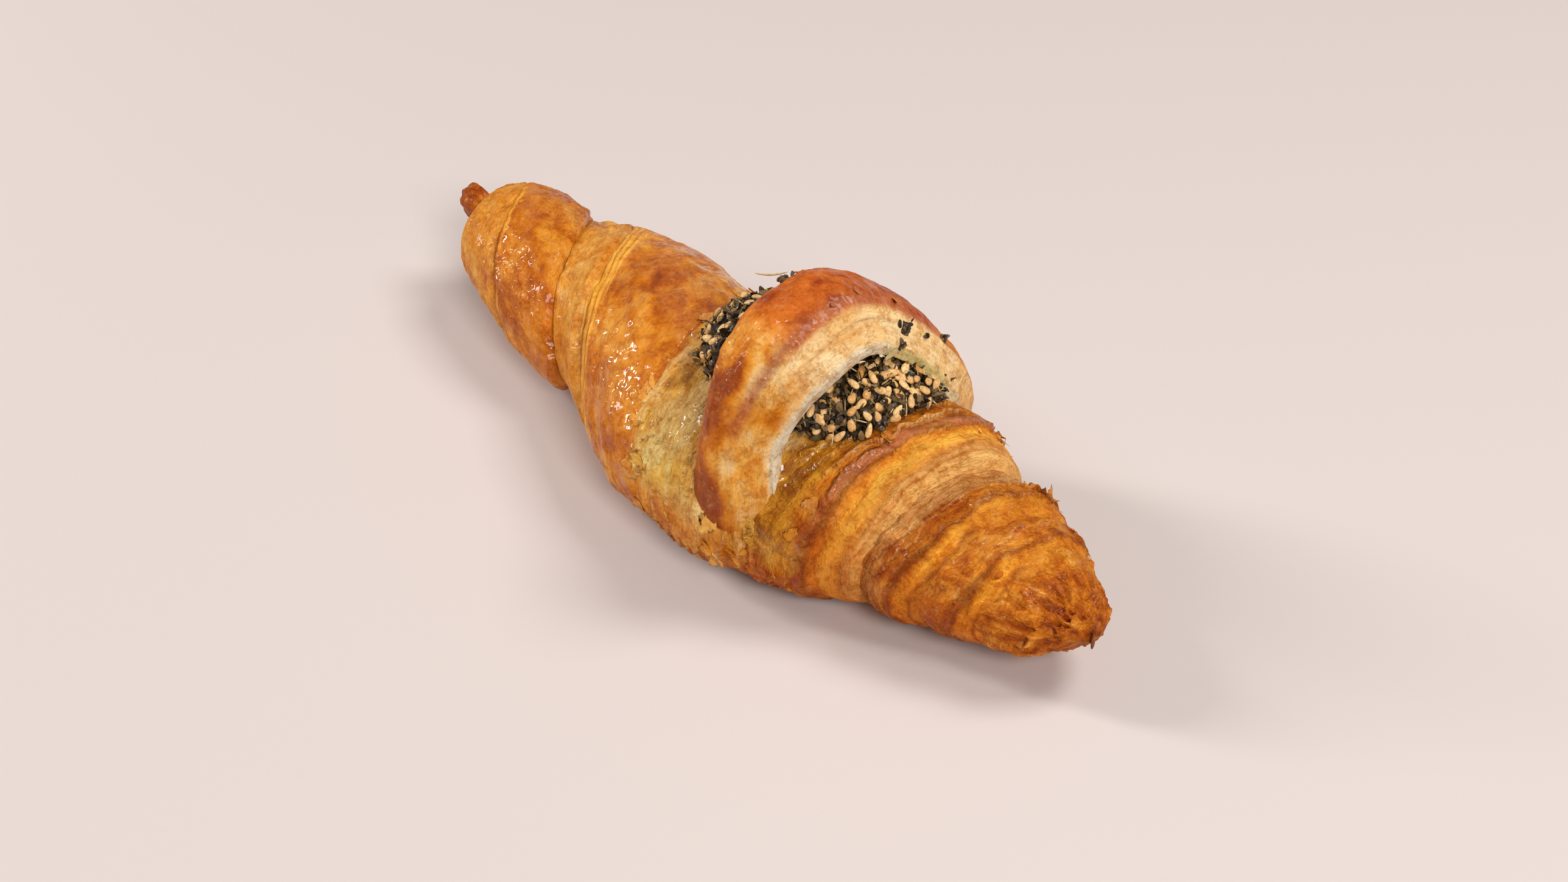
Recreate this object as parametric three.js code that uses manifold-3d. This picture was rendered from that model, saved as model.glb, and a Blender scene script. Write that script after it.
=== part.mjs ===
// A baked croissant, 204 mm long and 67 mm high, rolled from one sheet of layered dough.
// Its last wrap stands up as an arch over a filling of sesame seeds and dried herbs.
// Millimetres, +Z up, +X towards the short thick arm, -Y towards the side where the arch has its free end.
import * as THREE from "three";
import { mergeVertices } from "three/addons/utils/BufferGeometryUtils.js";
import Module from "manifold-3d";

const wasm = await Module();
wasm.setup();

// Driving dimensions of the roll, whose stations run from the slim arm's tip to the thick arm's tip.
const roll = {
  fullestAt: 30, // station where the roll is widest
  halfWidth: 30.5,
  heightToHalfWidth: 1.42,
  centreShare: 0.45, // height of the section's centre, as a share of the section's height
  underside: 1.2, // how far the rounded underside would reach below the tray, which the tray cut flat
  undersidePower: 0.75,
  slim: { length: 136, bulge: 1.2, taper: 0.345, bow: 10.3, bowLength: 34 },
  thick: { length: 76, bulge: 1.1, taper: 0.62, bow: 13.5, bowLength: 25 },
  bowFrom: 12,
  bowStart: -3.5,
  blunt: { from: -99.5, softness: 2.5 }, // the wraps' edges crowd together where they reach the slim tip
  backLean: -0.75, // least share of the lean, reached on the back
  liftFrom: 40, // beyond this distance from the middle the arms curl up off the tray
  liftLength: 60,
  lift: 11,
  liftPower: 1.6,
};

// Wraps of dough. edge is the station of the wrap's cut edge at the top, lean how far the edge runs
// towards the thick arm on its way down the front, face the width of the layered cut face below the edge.
const wraps = [
  { toward: -1, edge: -88.5, lean: 19, face: 9, lip: 1.4, swell: 0.2, back: -67, backLean: 19, backDepth: -0.4 },
  { toward: -1, edge: -66, lean: 19, face: 4, lip: -2.6, swell: 0.2, back: -44, backLean: 22, backDepth: -3.2 },
  { toward: -1, edge: -51, lean: 24, face: 7, lip: 0.4, swell: 2, back: -13, backLean: 13, backDepth: -1.6 },
  { toward: 1, edge: 47, lean: -3, face: 8, lip: 0.8, swell: 0.2, back: 36, backLean: -3, backDepth: -0.4 },
  { toward: 1, edge: 67.5, lean: -6, face: 6, lip: 0.8, swell: -2, back: 55, backLean: -5, backDepth: -4 },
  { toward: 1, edge: 79, lean: -4, face: 5, lip: 0.2, swell: -0.4, back: 70, backLean: -5, backDepth: -2.6 },
];
const hiddenDepth = 6; // how deep a wrap's covered ends run into the roll
const wrapMesh = { columns: 34, rows: 12 };

// Plain ends of the roll and the inner turn that shows between the two arms.
const slimTip = { start: -102.5, end: -80, lean: 12, proud: 1 };
const innerTurn = { start: -22, end: 46, lean: 4, proud: -0.8 };
const thickTip = { start: 74, end: 97.5, lean: -4, proud: -1.6 };
const knob = { at: [-101.3, 3.2, 24], radii: [5.4, 4.4, 4.8] };

// The arch: the sheet's pointed end, lying over the filling, with a free end low on the front.
// Its outer line is a tall half ellipse across the roll; left and right are the skin's two long edges.
const arch = {
  centre: { y: 5, z: 25 },
  reach: 35.3,
  rise: 42,
  frontPower: 0.9, // below 1 the half ellipse is squarer, above 1 it is more pointed
  backPower: 1.3,
  frontAngle: 1.66,
  backAngle: -1.8,
  top: { left: 13, right: 30.5, slant: 5.5 },
  front: { left: 19.5, right: 32, slant: 4.5 },
  back: { left: 22, right: 37, slant: 3 },
  thickness: 9.5,
};
// Its section, from left to right over the skin and back below.
// Each corner is its share of the width, its share of the slant and its depth.
const archSection = [
  [0, 0, 3.2],
  [0.07, 0, 1.6],
  [0.3, 0, 0.2],
  [0.55, 0, 0],
  [0.8, 0, 0.8],
  [1, 0, 3.6],
  [1, 0.35, 5.6],
  [1, 0.75, 8],
  [1, 1, 10],
  [0.8, 0.6, 9.9],
  [0.5, 0.3, 9.6],
  [0.2, 0.1, 9.4],
  [0.03, 0, 8.6],
  [0, 0, 6],
];
const archRows = 34;

// The filling: a flat heap from the slim arm's big wrap to the thick arm, under the arch.
const filling = {
  from: -5.5,
  to: 42.5,
  backTurn: -1.0,
  frontTurn: 0.42,
  skew: 0.13, // it runs further down the front at the thick arm than at the slim one
  sunk: 1.6, // how deep it has pressed into the roll
  edgeHeight: 9,
  archHeight: 17, // height under the arch, which presses it flat
  archAt: 22,
  archSpan: 8, // half the length over which it stands that high
  unevenness: 0.7,
};
const fillingMesh = { columns: 36, rows: 14 };
const clearance = 0.35;
const seed = { length: 3.3, width: 2.0, thickness: 1.2, sunk: 0.15, tilt: 0.5 };
const herb = { length: 2.6, width: 1.1, thickness: 1.0, sunk: 0.1, tilt: 1.2 };
// Where the filling shows: on the thick arm's side of the arch, and in a strip on the slim arm's side.
const shown = [
  { from: 32.5, to: 41.5, seeds: 54, herbs: 26 },
  { from: -4.5, to: 13, seeds: 34, herbs: 18 },
];

// Baked flakes that came loose and stuck low on the front: station, turn, radius.
const flakes = [
  { at: [25, 1.64], radius: 3.6 },
  { at: [26.5, 1.9], radius: 2.8 },
];
const flakeThickness = 0.9;

// Crumbs of the filling stuck on the arch's cut face: place and radius.
const crumbs = [
  [33.4, 18.5, 54, 2.1],
  [35.8, 15, 52.9, 1.4],
  [34.1, 24, 49.4, 1.1],
  [35, 31.3, 46.6, 1.6],
];

const mix = (a, b, t) => a + (b - a) * t;
const signedPower = (value, power) => Math.sign(value) * Math.abs(value) ** power;
const smooth = (t) => {
  const c = Math.min(1, Math.max(0, t));
  return c * c * (3 - 2 * c);
};

// A small repeatable random source (mulberry32).
function randomSource(start) {
  let state = start;
  return () => {
    state = (state + 0x6d2b79f5) | 0;
    let t = Math.imul(state ^ (state >>> 15), 1 | state);
    t = (t + Math.imul(t ^ (t >>> 7), 61 | t)) ^ t;
    return ((t ^ (t >>> 14)) >>> 0) / 4294967296;
  };
}

// Half width of the roll at a station: full at fullestAt, narrowing to nothing past either tip.
function halfWidthAt(x) {
  const side = x < roll.fullestAt ? roll.slim : roll.thick;
  const share = Math.min(1, Math.abs(x - roll.fullestAt) / side.length);
  return roll.halfWidth * (1 - share ** side.bulge) ** side.taper;
}

// Sideways bow of the roll's axis, away from the front at both tips.
function bowAt(x) {
  const side = x < roll.bowFrom ? roll.slim : roll.thick;
  return roll.bowStart + side.bow * (1 - Math.exp(-(((x - roll.bowFrom) / side.bowLength) ** 2)));
}

// Lift of the underside off the tray.
function liftAt(x) {
  const beyond = Math.max(0, Math.abs(x) - roll.liftFrom) / roll.liftLength;
  return roll.lift * beyond ** roll.liftPower;
}

// A point on the roll. turn is 0 at the top and grows towards the front.
// proud is the height over the mean skin.
function skinPoint(x, turn, proud, target) {
  const halfWidth = halfWidthAt(x);
  const height = roll.heightToHalfWidth * halfWidth;
  const centre = liftAt(x) + roll.centreShare * height;
  const up = Math.cos(turn);
  const above = (1 - roll.centreShare) * height + proud;
  const below = roll.centreShare * height + roll.underside + proud;
  const z = up > 0 ? centre + above * up : centre - below * Math.abs(up) ** roll.undersidePower;
  return target.set(x, bowAt(x) - (halfWidth + proud) * Math.sin(turn), z);
}

// A point on the roll's axis, where the wraps' covered ends close.
function axisPoint(x, target) {
  return target.set(x, bowAt(x), liftAt(x) + roll.centreShare * roll.heightToHalfWidth * halfWidthAt(x));
}

// How an edge runs round the roll: towards the thick arm down the front, and back again underneath.
const leanShare = (turn) => Math.max(roll.backLean, Math.sin(turn) - 0.2 * Math.sin(2 * turn));

// A wrap's station, held back from the slim tip's blunt end.
function heldStation(x) {
  const { from, softness } = roll.blunt;
  return from + softness * Math.log(1 + Math.exp((x - from) / softness));
}

// A closed surface: a sphere's mesh, each vertex moved by place(along, around), along from pole to pole.
function closedSurface({ columns, rows }, place) {
  const geometry = new THREE.SphereGeometry(1, columns, rows);
  const position = geometry.getAttribute("position");
  const uv = geometry.getAttribute("uv");
  const point = new THREE.Vector3();
  for (let i = 0; i < position.count; i++) {
    place(1 - uv.getY(i), ((uv.getX(i) + 1) % 1) * 2 * Math.PI, point);
    position.setXYZ(i, point.x, point.y, point.z);
  }
  return geometry;
}

// A geometry as a solid for joining and cutting, turned to face outwards.
function solidOf(geometry) {
  const bare = geometry.clone();
  bare.deleteAttribute("normal");
  bare.deleteAttribute("uv");
  const merged = mergeVertices(bare, 1e-4);
  const triVerts = new Uint32Array(merged.index.array);
  const vertProperties = new Float32Array(merged.attributes.position.array);
  const made = new wasm.Manifold(new wasm.Mesh({ numProp: 3, vertProperties, triVerts }));
  if (made.volume() > 0) return made;
  for (let i = 0; i < triVerts.length; i += 3) {
    [triVerts[i + 1], triVerts[i + 2]] = [triVerts[i + 2], triVerts[i + 1]];
  }
  return new wasm.Manifold(new wasm.Mesh({ numProp: 3, vertProperties, triVerts }));
}

// The profile of one wrap, from its far end on the axis over its skin, edge and cut face to its near end.
// Each point is station, height over the mean skin and lean.
function wrapProfile({ toward, edge, lean, face, lip, swell, back, backLean, backDepth }) {
  const middle = mix(edge, back, 0.55);
  const points = [
    [edge + toward * (face + 3), -hiddenDepth, lean],
    [edge + toward * face, -0.9, lean],
    [edge + toward * face * 0.45, lip * 0.45, lean],
    [edge, lip, lean],
    [edge - toward * 3, lip + swell * 0.5, lean],
    [middle, Math.max(lip, 0) * 0.6 + swell, mix(lean, backLean, 0.55)],
    [back, backDepth, backLean],
    [back - toward * 3, -hiddenDepth, backLean],
  ];
  return toward < 0 ? points : points.reverse();
}

// The solid of a profile carried round the roll.
// Between the profile's points the skin follows a smooth curve.
function rolledSolid(points, mesh = wrapMesh) {
  const skin = new THREE.CatmullRomCurve3(points.map((p) => new THREE.Vector3(...p)), false, "centripetal");
  const ends = [points[0][0], points[points.length - 1][0]];
  const at = new THREE.Vector3();
  const share = 1 / mesh.rows;
  return solidOf(
    closedSurface(mesh, (along, turn, target) => {
      if (along < share / 2) return axisPoint(heldStation(ends[0]), target);
      if (along > 1 - share / 2) return axisPoint(heldStation(ends[1]), target);
      skin.getPoint(Math.min(1, Math.max(0, (along - share) / (1 - 2 * share))), at);
      return skinPoint(heldStation(at.x + at.z * leanShare(turn)), turn, at.y, target);
    }),
  );
}

// A plain stretch of the roll with rounded ends.
function plainStretch({ start, end, lean, proud }) {
  const points = [
    [start, -hiddenDepth, lean * 0.2],
    [mix(start, end, 0.04), -1.5, lean * 0.3],
    [mix(start, end, 0.15), proud, lean * 0.45],
    [mix(start, end, 0.5), proud, lean * 0.8],
    [mix(start, end, 0.85), proud, lean],
    [mix(start, end, 0.96), -1.5, lean],
    [end, -hiddenDepth, lean],
  ];
  return rolledSolid(points, { columns: wrapMesh.columns, rows: 9 });
}

// The blunt tip of the thick arm, which swells and closes over a short stretch.
function bluntTip({ start, end, lean, proud }) {
  const points = [
    [start, -hiddenDepth, lean],
    [mix(start, end, 0.12), -1, lean],
    [mix(start, end, 0.4), proud + 0.6, lean],
    [mix(start, end, 0.7), proud + 1.2, lean * 0.8],
    [mix(start, end, 0.88), proud - 1, lean * 0.5],
    [mix(start, end, 0.97), -5, lean * 0.2],
    [end, -8, 0],
  ];
  return rolledSolid(points, { columns: wrapMesh.columns, rows: 10 });
}

// The arch's outer line at an angle from its top, growing towards the front.
function archLine(angle, inset, target) {
  const power = angle > 0 ? arch.frontPower : arch.backPower;
  const y = arch.centre.y - (arch.reach - inset) * signedPower(Math.sin(angle), power);
  return target.set(0, y, arch.centre.z + (arch.rise - inset) * signedPower(Math.cos(angle), power));
}

// The arch: its section carried along that line, drawn together at both ends.
// It can be grown below and above.
function archSolid(grow, above) {
  const outer = new THREE.Vector3();
  const corners = archSection.length;
  return solidOf(
    closedSurface({ columns: corners, rows: archRows }, (along, around, target) => {
      const end = Math.min(1, Math.min(along, 1 - along) * 14) ** 0.4;
      const angle = mix(arch.frontAngle, arch.backAngle, along);
      const foot = angle > 0 ? arch.front : arch.back;
      const low = smooth((Math.abs(angle) - 0.35) / 0.95);
      const left = mix(arch.top.left, foot.left, low);
      const right = mix(arch.top.right, foot.right, low);
      const slant = mix(arch.top.slant, foot.slant, low);
      const [width, cut, depth] = archSection[Math.round((around / 2 / Math.PI) * corners) % corners];
      const middle = (left + right + slant) / 2;
      const station = mix(left - grow, right + grow, width) + slant * cut;
      const grownDepth = depth < arch.thickness / 2 ? depth - above : depth + grow;
      archLine(angle, mix(arch.thickness / 2, grownDepth, end), outer);
      return target.set(mix(middle, station, end), outer.y, outer.z);
    }),
  );
}

// Height of the filling over the roll at a station, before its edge is rounded off.
function fillingHeight(x, turn) {
  const fromArch = Math.abs(x - filling.archAt) - filling.archSpan;
  const underArch = 1 - smooth(fromArch / 9);
  const bumps = Math.sin(x * 1.3 + turn * 9) * Math.cos(x * 0.7 - turn * 13) * filling.unevenness;
  return mix(filling.edgeHeight, filling.archHeight, underArch) + bumps;
}

// A point on the filling. along and across run from -1 to 1 over its length and its width round the roll.
function fillingPoint(along, across, top, grow, target) {
  const x = mix(filling.from - grow, filling.to + grow, (along + 1) / 2);
  const turnGrow = grow / roll.halfWidth;
  const evenTurn = mix(filling.backTurn - turnGrow, filling.frontTurn + turnGrow, (across + 1) / 2);
  const turn = evenTurn + filling.skew * along;
  const out = Math.min(1, outOf(along, across));
  const rim = Math.sqrt(1 - out ** 5);
  const upper = fillingHeight(x, turn) * rim + grow;
  return skinPoint(x, turn, top ? upper : -filling.sunk * rim - grow, target);
}

// How far out a point lies on the filling's rounded rectangle: 0 in the middle, 1 on its edge.
const corner = 0.6;
function outOf(along, across) {
  return (Math.abs(along) ** (2 / corner) + Math.abs(across) ** (2 / corner)) ** (corner / 2);
}

// The filling's heap as a pillow on the roll, grown where it hollows out the dough.
function fillingSolid(grow) {
  return solidOf(
    closedSurface(fillingMesh, (share, around, target) => {
      const out = Math.sin(share * Math.PI);
      const ragged = out * (1 - 0.04 * Math.sin(7 * around) ** 2 - 0.04 * Math.sin(5 * around + 1) ** 2);
      const along = ragged * signedPower(Math.cos(around), corner);
      const across = ragged * signedPower(Math.sin(around), corner);
      return fillingPoint(along, across, share < 0.5, grow, target);
    }),
  );
}

// A small solid laid on the filling: a stretched ball, flat on the surface and turned by the random draw.
function grain(size, [along, across], random) {
  const [at, ahead, aside] = [0, 1, 2].map(() => new THREE.Vector3());
  fillingPoint(along, across, true, -size.sunk, at);
  fillingPoint(along + 0.02, across, true, -size.sunk, ahead).sub(at);
  fillingPoint(along, across + 0.02, true, -size.sunk, aside).sub(at);
  const outward = ahead.cross(aside).normalize();
  if (outward.z < 0) outward.negate();
  const geometry = new THREE.SphereGeometry(0.5, 5, 4);
  geometry.scale(size.length, size.width, size.thickness);
  geometry.rotateX(size.tilt * (random() - 0.5));
  geometry.rotateZ(random() * 2 * Math.PI);
  geometry.applyQuaternion(new THREE.Quaternion().setFromUnitVectors(new THREE.Vector3(0, 0, 1), outward));
  return solidOf(geometry.translate(at.x, at.y, at.z));
}

// Grains spread evenly over the filling where it shows, by the golden-ratio rule.
// Those that would lie past its edge or touch the dough are left out.
function grainsOn(dough, { from, to, count }, size, random) {
  const kept = [];
  const golden = 0.6180339887;
  for (let i = 0; i < count; i++) {
    const station = mix(from, to, (i + 0.5) / count);
    const along = (2 * (station - filling.from)) / (filling.to - filling.from) - 1;
    const across = 1.9 * ((i * golden) % 1) - 0.95;
    if (outOf(along, across) > 0.93) continue;
    const made = grain(size, [along, across], random);
    if (made.intersect(dough).isEmpty()) kept.push(made);
  }
  return kept;
}

// A thin ragged flake lying against the skin.
function flakeSolid({ at: [station, turn], radius }) {
  const middle = skinPoint(station, turn, innerTurn.proud, new THREE.Vector3());
  const shape = new THREE.Shape();
  const corners = 9;
  for (let i = 0; i < corners; i++) {
    const reach = radius * (0.82 + 0.2 * Math.sin(i * 2.4));
    const angle = (i / corners) * 2 * Math.PI;
    shape[i ? "lineTo" : "moveTo"](reach * Math.cos(angle), reach * Math.sin(angle));
  }
  const geometry = new THREE.ExtrudeGeometry(shape, { depth: flakeThickness, bevelEnabled: false });
  const outward = new THREE.Vector3(0, -Math.sin(turn), Math.cos(turn)).normalize();
  geometry.applyQuaternion(new THREE.Quaternion().setFromUnitVectors(new THREE.Vector3(0, 0, 1), outward));
  geometry.translate(middle.x, middle.y, middle.z);
  return solidOf(geometry);
}

// The tip's small knob, curled up from the slim arm.
function knobSolid() {
  const geometry = new THREE.SphereGeometry(1, 12, 8).scale(...knob.radii);
  return solidOf(geometry.translate(...knob.at));
}

// What lies below the tray's surface, cut away so that the roll stands flat.
const belowTray = solidOf(new THREE.BoxGeometry(300, 200, 40).translate(0, 0, -20));

const joined = (solids) => solids.reduce((sum, next) => sum.add(next));

// The main body of a solid, without loose scraps.
function mainBody(solid) {
  return solid.decompose().reduce((main, next) => (next.volume() > main.volume() ? next : main));
}

// A crumb as a small uneven ball.
function crumbSolid([x, y, z, radius]) {
  const geometry = new THREE.IcosahedronGeometry(radius, 0);
  geometry.scale(1, 1.15, 0.9);
  return solidOf(geometry.rotateZ(x).translate(x, y, z));
}

// A solid as a named mesh.
function meshOf(name, solid, material) {
  const { vertProperties, triVerts } = solid.getMesh();
  const geometry = new THREE.BufferGeometry();
  geometry.setAttribute("position", new THREE.BufferAttribute(vertProperties, 3));
  geometry.setIndex(new THREE.BufferAttribute(triVerts, 1));
  geometry.computeVertexNormals();
  const mesh = new THREE.Mesh(geometry, material);
  mesh.name = name;
  return mesh;
}

const crust = new THREE.MeshStandardMaterial({ color: 0xc8822f, roughness: 0.45, metalness: 0 });
const seeded = new THREE.MeshStandardMaterial({ color: 0x3c382c, roughness: 0.8, metalness: 0 });

const rolledDough = joined([
  ...wraps.map((wrap) => rolledSolid(wrapProfile(wrap))),
  plainStretch(slimTip),
  plainStretch(innerTurn),
  bluntTip(thickTip),
  knobSolid(),
  ...flakes.map(flakeSolid),
]);
const hollowed = rolledDough.subtract(fillingSolid(clearance)).subtract(belowTray);
const dough = mainBody(joined([hollowed, archSolid(0, 0), ...crumbs.map(crumbSolid)]));
const random = randomSource(7);
const grains = [
  ...shown.flatMap(({ from, to, seeds, herbs }) => [
    ...grainsOn(dough, { from, to, count: seeds }, seed, random),
    ...grainsOn(dough, { from, to, count: herbs }, herb, random),
  ]),
];
const pressed = fillingSolid(0).subtract(archSolid(clearance, 25));
const heap = mainBody(joined([pressed, ...grains]));

const croissant = new THREE.Group();
croissant.add(meshOf("dough", dough, crust));
croissant.add(meshOf("seed_filling", heap, seeded));

// The origin is at the middle of the underside, below the bounding box's centre.
const middle = new THREE.Box3().setFromObject(croissant).getCenter(new THREE.Vector3());
croissant.position.set(-middle.x, -middle.y, 0);

export default croissant;
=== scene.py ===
import bpy
import numpy as np
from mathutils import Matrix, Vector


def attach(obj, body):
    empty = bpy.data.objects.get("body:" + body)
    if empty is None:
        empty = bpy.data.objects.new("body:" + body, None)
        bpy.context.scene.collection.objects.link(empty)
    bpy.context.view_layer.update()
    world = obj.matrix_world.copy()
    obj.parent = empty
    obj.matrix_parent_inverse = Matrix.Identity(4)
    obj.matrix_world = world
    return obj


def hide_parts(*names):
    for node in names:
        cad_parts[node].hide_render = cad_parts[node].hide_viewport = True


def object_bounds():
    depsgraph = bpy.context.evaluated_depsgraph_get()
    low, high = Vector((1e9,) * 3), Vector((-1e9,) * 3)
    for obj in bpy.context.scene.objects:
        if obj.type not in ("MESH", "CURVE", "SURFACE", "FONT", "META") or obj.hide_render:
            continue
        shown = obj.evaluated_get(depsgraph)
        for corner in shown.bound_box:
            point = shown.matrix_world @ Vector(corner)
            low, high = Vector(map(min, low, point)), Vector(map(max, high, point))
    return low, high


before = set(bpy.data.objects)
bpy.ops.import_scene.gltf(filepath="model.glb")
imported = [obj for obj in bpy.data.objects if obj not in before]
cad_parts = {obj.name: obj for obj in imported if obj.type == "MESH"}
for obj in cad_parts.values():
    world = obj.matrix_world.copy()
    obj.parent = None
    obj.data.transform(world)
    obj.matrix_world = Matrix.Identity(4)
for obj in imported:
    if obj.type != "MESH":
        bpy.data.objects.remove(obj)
cad_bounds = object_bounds()

# Camera: a hand-held view from the front right, about 40 degrees down.
camera = bpy.data.objects.new("camera", bpy.data.cameras.new("camera"))
bpy.context.scene.collection.objects.link(camera)
bpy.context.scene.camera = camera
bpy.context.scene.view_settings.view_transform = "Standard"
camera.data.lens = 50
camera.data.sensor_width = 36
camera.location = (0.2876, -0.2476, 0.332)
camera.rotation_euler = (np.radians(49.4), 0, np.radians(47.74))


# The inner turn
# The sheet of layered wheat dough is rolled from its wide end, and the innermost turns show between the
# two arms. Here they are pale and soft, and oil from the filling has soaked them dark yellow.
# Lengths are in millimetres along the roll, from the slim arm's tip at -107 to the thick arm's tip at 97.

MM = 0.001
MIDDLE = np.array([-4.6, 4.558, 0.0])  # where the object's origin lies in the roll's own measures
SPACING = 0.38  # distance between the surface's points along the roll
AROUND = 480  # points round the roll
DRUM = 28  # radius round which the roll's noises are read, about the roll's own
FULLEST = 30  # station where the roll is widest
HALF_WIDTH = 30.5
TALL = 1.42  # height of the roll's section by its half width
LOW_SHARE = 0.45  # share of that height below the widest line
TURN_START, TURN_END = -22, 46
HIDDEN = -6  # height of a turn's ends, inside the turns beside it

BAKING = [
    # how far baked, colour: cream, straw, gold, amber, brown, red-brown, dark
    (0.0, (0.90, 0.57, 0.23)), (0.18, (0.84, 0.42, 0.085)), (0.38, (0.79, 0.305, 0.028)),
    (0.58, (0.67, 0.205, 0.010)), (0.80, (0.50, 0.122, 0.006)), (1.0, (0.35, 0.065, 0.005)),
    (1.3, (0.12, 0.020, 0.004)),
]


def blend(low, high, share):
    """low + (high - low) * share, where low and high may be colours and share a field."""
    low, high, share = np.asarray(low, float), np.asarray(high, float), np.asarray(share, float)
    colours = [side for side in (low, high) if side.ndim and side.shape[-1] == 3]
    if colours and share.ndim and share.shape[-1] != 3:
        share = share[..., None]
    return low + (high - low) * share


def ease(value, start, end):
    """0 before start, 1 after end, and 3t^2 - 2t^3 between them."""
    share = np.clip((value - start) / (end - start), 0, 1)
    return share * share * (3 - 2 * share)


def hill(value, centre, width):
    """exp(-((value - centre) / width)^2): a soft hill, 1 at its centre."""
    return np.exp(-(((value - centre) / width) ** 2))


def power(value, exponent):
    """The value's size raised to a power, with the value's sign."""
    return np.sign(value) * np.abs(value) ** exponent


def noise(places, size, seed):
    """Random field from -1 to 1: random numbers on a cubic lattice of that size, eased between corners."""
    cell = np.asarray(places, float) / size
    base = np.floor(cell).astype(np.int64)
    part = cell - base
    part = part * part * (3 - 2 * part)
    total = 0
    for corner in range(8):
        step = np.array([corner & 1, corner >> 1 & 1, corner >> 2 & 1])
        at = base + step
        mixed = at[..., 0] * 73856093 ^ at[..., 1] * 19349663 ^ at[..., 2] * 83492791 ^ seed * 2654435761
        mixed = (mixed ^ mixed >> 13) * 1274126177 & 0xFFFFFFFF
        value = ((mixed ^ mixed >> 16) & 0xFFFF) / 32767.5 - 1
        total = total + value * np.prod(np.where(step, part, 1 - part), axis=-1)
    return total


def rough(places, size, seed):
    """Noise of the given size plus half as much at half the size and a quarter at a quarter."""
    halves = noise(places, size, seed) + 0.5 * noise(places, size / 2, seed + 1)
    return (halves + 0.25 * noise(places, size / 4, seed + 2)) / 1.2


def swirl(places, size, seed):
    """Rough noise whose places are first shifted by another noise, so that its patches curl."""
    shift = np.stack([noise(places, 1.6 * size, seed + k) for k in (7, 8, 9)], -1)
    return rough(places + 0.7 * size * shift, size, seed)


def half_width(x):
    """Half width of the roll: full * (1 - share^bulge)^taper, share growing from the fullest to a tip."""
    slim = x < FULLEST
    length, bulge, taper = np.where(slim, 136, 76), np.where(slim, 1.2, 1.1), np.where(slim, 0.345, 0.62)
    share = np.clip(np.abs(x - FULLEST) / length, 0, 0.9999)
    return HALF_WIDTH * (1 - share ** bulge) ** taper


def bow(x):
    """Sideways bow of the axis: it runs off towards the back on both arms, along 1 - exp(-t^2)."""
    reach, length = np.where(x < 12, 10.3, 13.5), np.where(x < 12, 34, 25)
    return -3.5 + reach * (1 - np.exp(-(((x - 12) / length) ** 2)))


def lift(x):
    """Lift of the underside off the tray: 11 * t^1.6 from 40 mm off the middle."""
    return 11 * (np.maximum(0, np.abs(x) - 40) / 60) ** 1.6


def skin(x, turn, proud):
    """A point on the roll: its section is half an ellipse above and a squarer one below, grown by proud."""
    width = half_width(x)
    height = TALL * width
    centre = lift(x) + LOW_SHARE * height
    up = np.cos(turn)
    above = centre + ((1 - LOW_SHARE) * height + proud) * up
    below = centre - (LOW_SHARE * height + 1.2 + proud) * np.abs(up) ** 0.75
    across = bow(x) - (width + proud) * np.sin(turn)
    return np.stack([x + 0 * turn, across, np.where(up > 0, above, below)], -1)


def lean_share(turn):
    """How an edge runs round the roll: sin(turn) - 0.2 sin(2 turn), held back on the far side."""
    return np.maximum(-0.75, np.sin(turn) - 0.2 * np.sin(2 * turn))


def held(x):
    """A station held back from the slim tip's blunt end at -99.5, by a soft step 2.5 long."""
    return -99.5 + 2.5 * np.log1p(np.exp((x + 99.5) / 2.5))


def rounded(corners):
    """A profile's corners joined by straight lines, set out evenly and softened over two steps."""
    corners = np.array(corners, float)
    length = np.r_[0, np.cumsum(np.hypot(*np.diff(corners[:, :2], axis=0).T))]
    even = np.linspace(0, length[-1], int(length[-1] / SPACING) + 2)
    out = np.stack([np.interp(even, length, column) for column in corners.T] + [even], -1)
    soft = np.pad(out, ((2, 2), (0, 0)), "edge")
    soft = (soft[:-4] + 2 * soft[1:-3] + 3 * soft[2:-2] + 2 * soft[3:-1] + soft[4:]) / 9
    return soft, length


def mesh_object(name, places, loops, sizes, loop_uv, tint, gloss, flaky):
    """Object of these points and faces, turned outwards by its volume's sign, with fields as attributes."""
    starts = np.r_[0, np.cumsum(sizes)[:-1]]
    a, b, c = (places[loops[starts + k]] for k in range(3))
    d = places[loops[starts + sizes - 1]]
    if np.sum(np.cross(b, c) * a) + np.sum(np.cross(c, d) * a) < 0:
        backward = np.repeat(2 * starts + sizes - 1, sizes) - np.arange(len(loops))
        loops, loop_uv = loops[backward], loop_uv[backward]
    places = np.clip(places, *cad_bounds)
    mesh = bpy.data.meshes.new(name)
    mesh.vertices.add(len(places))
    mesh.vertices.foreach_set("co", places.ravel())
    mesh.loops.add(len(loops))
    mesh.loops.foreach_set("vertex_index", loops.astype(np.int32))
    mesh.polygons.add(len(sizes))
    mesh.polygons.foreach_set("loop_start", starts.astype(np.int32))
    mesh.update(calc_edges=True)
    mesh.shade_smooth()
    mesh.uv_layers.new(name="UVMap").data.foreach_set("uv", loop_uv.ravel())
    rgba = np.concatenate([np.clip(tint, 0, 1), np.ones((len(tint), 1))], 1)
    mesh.attributes.new("tint", "FLOAT_COLOR", "POINT").data.foreach_set("color", rgba.ravel())
    for field, values in (("gloss", gloss), ("flaky", flaky)):
        mesh.attributes.new(field, "FLOAT", "POINT").data.foreach_set("value", np.clip(values, 0, 1))
    obj = bpy.data.objects.new(name, mesh)
    bpy.context.scene.collection.objects.link(obj)
    return obj


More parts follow.
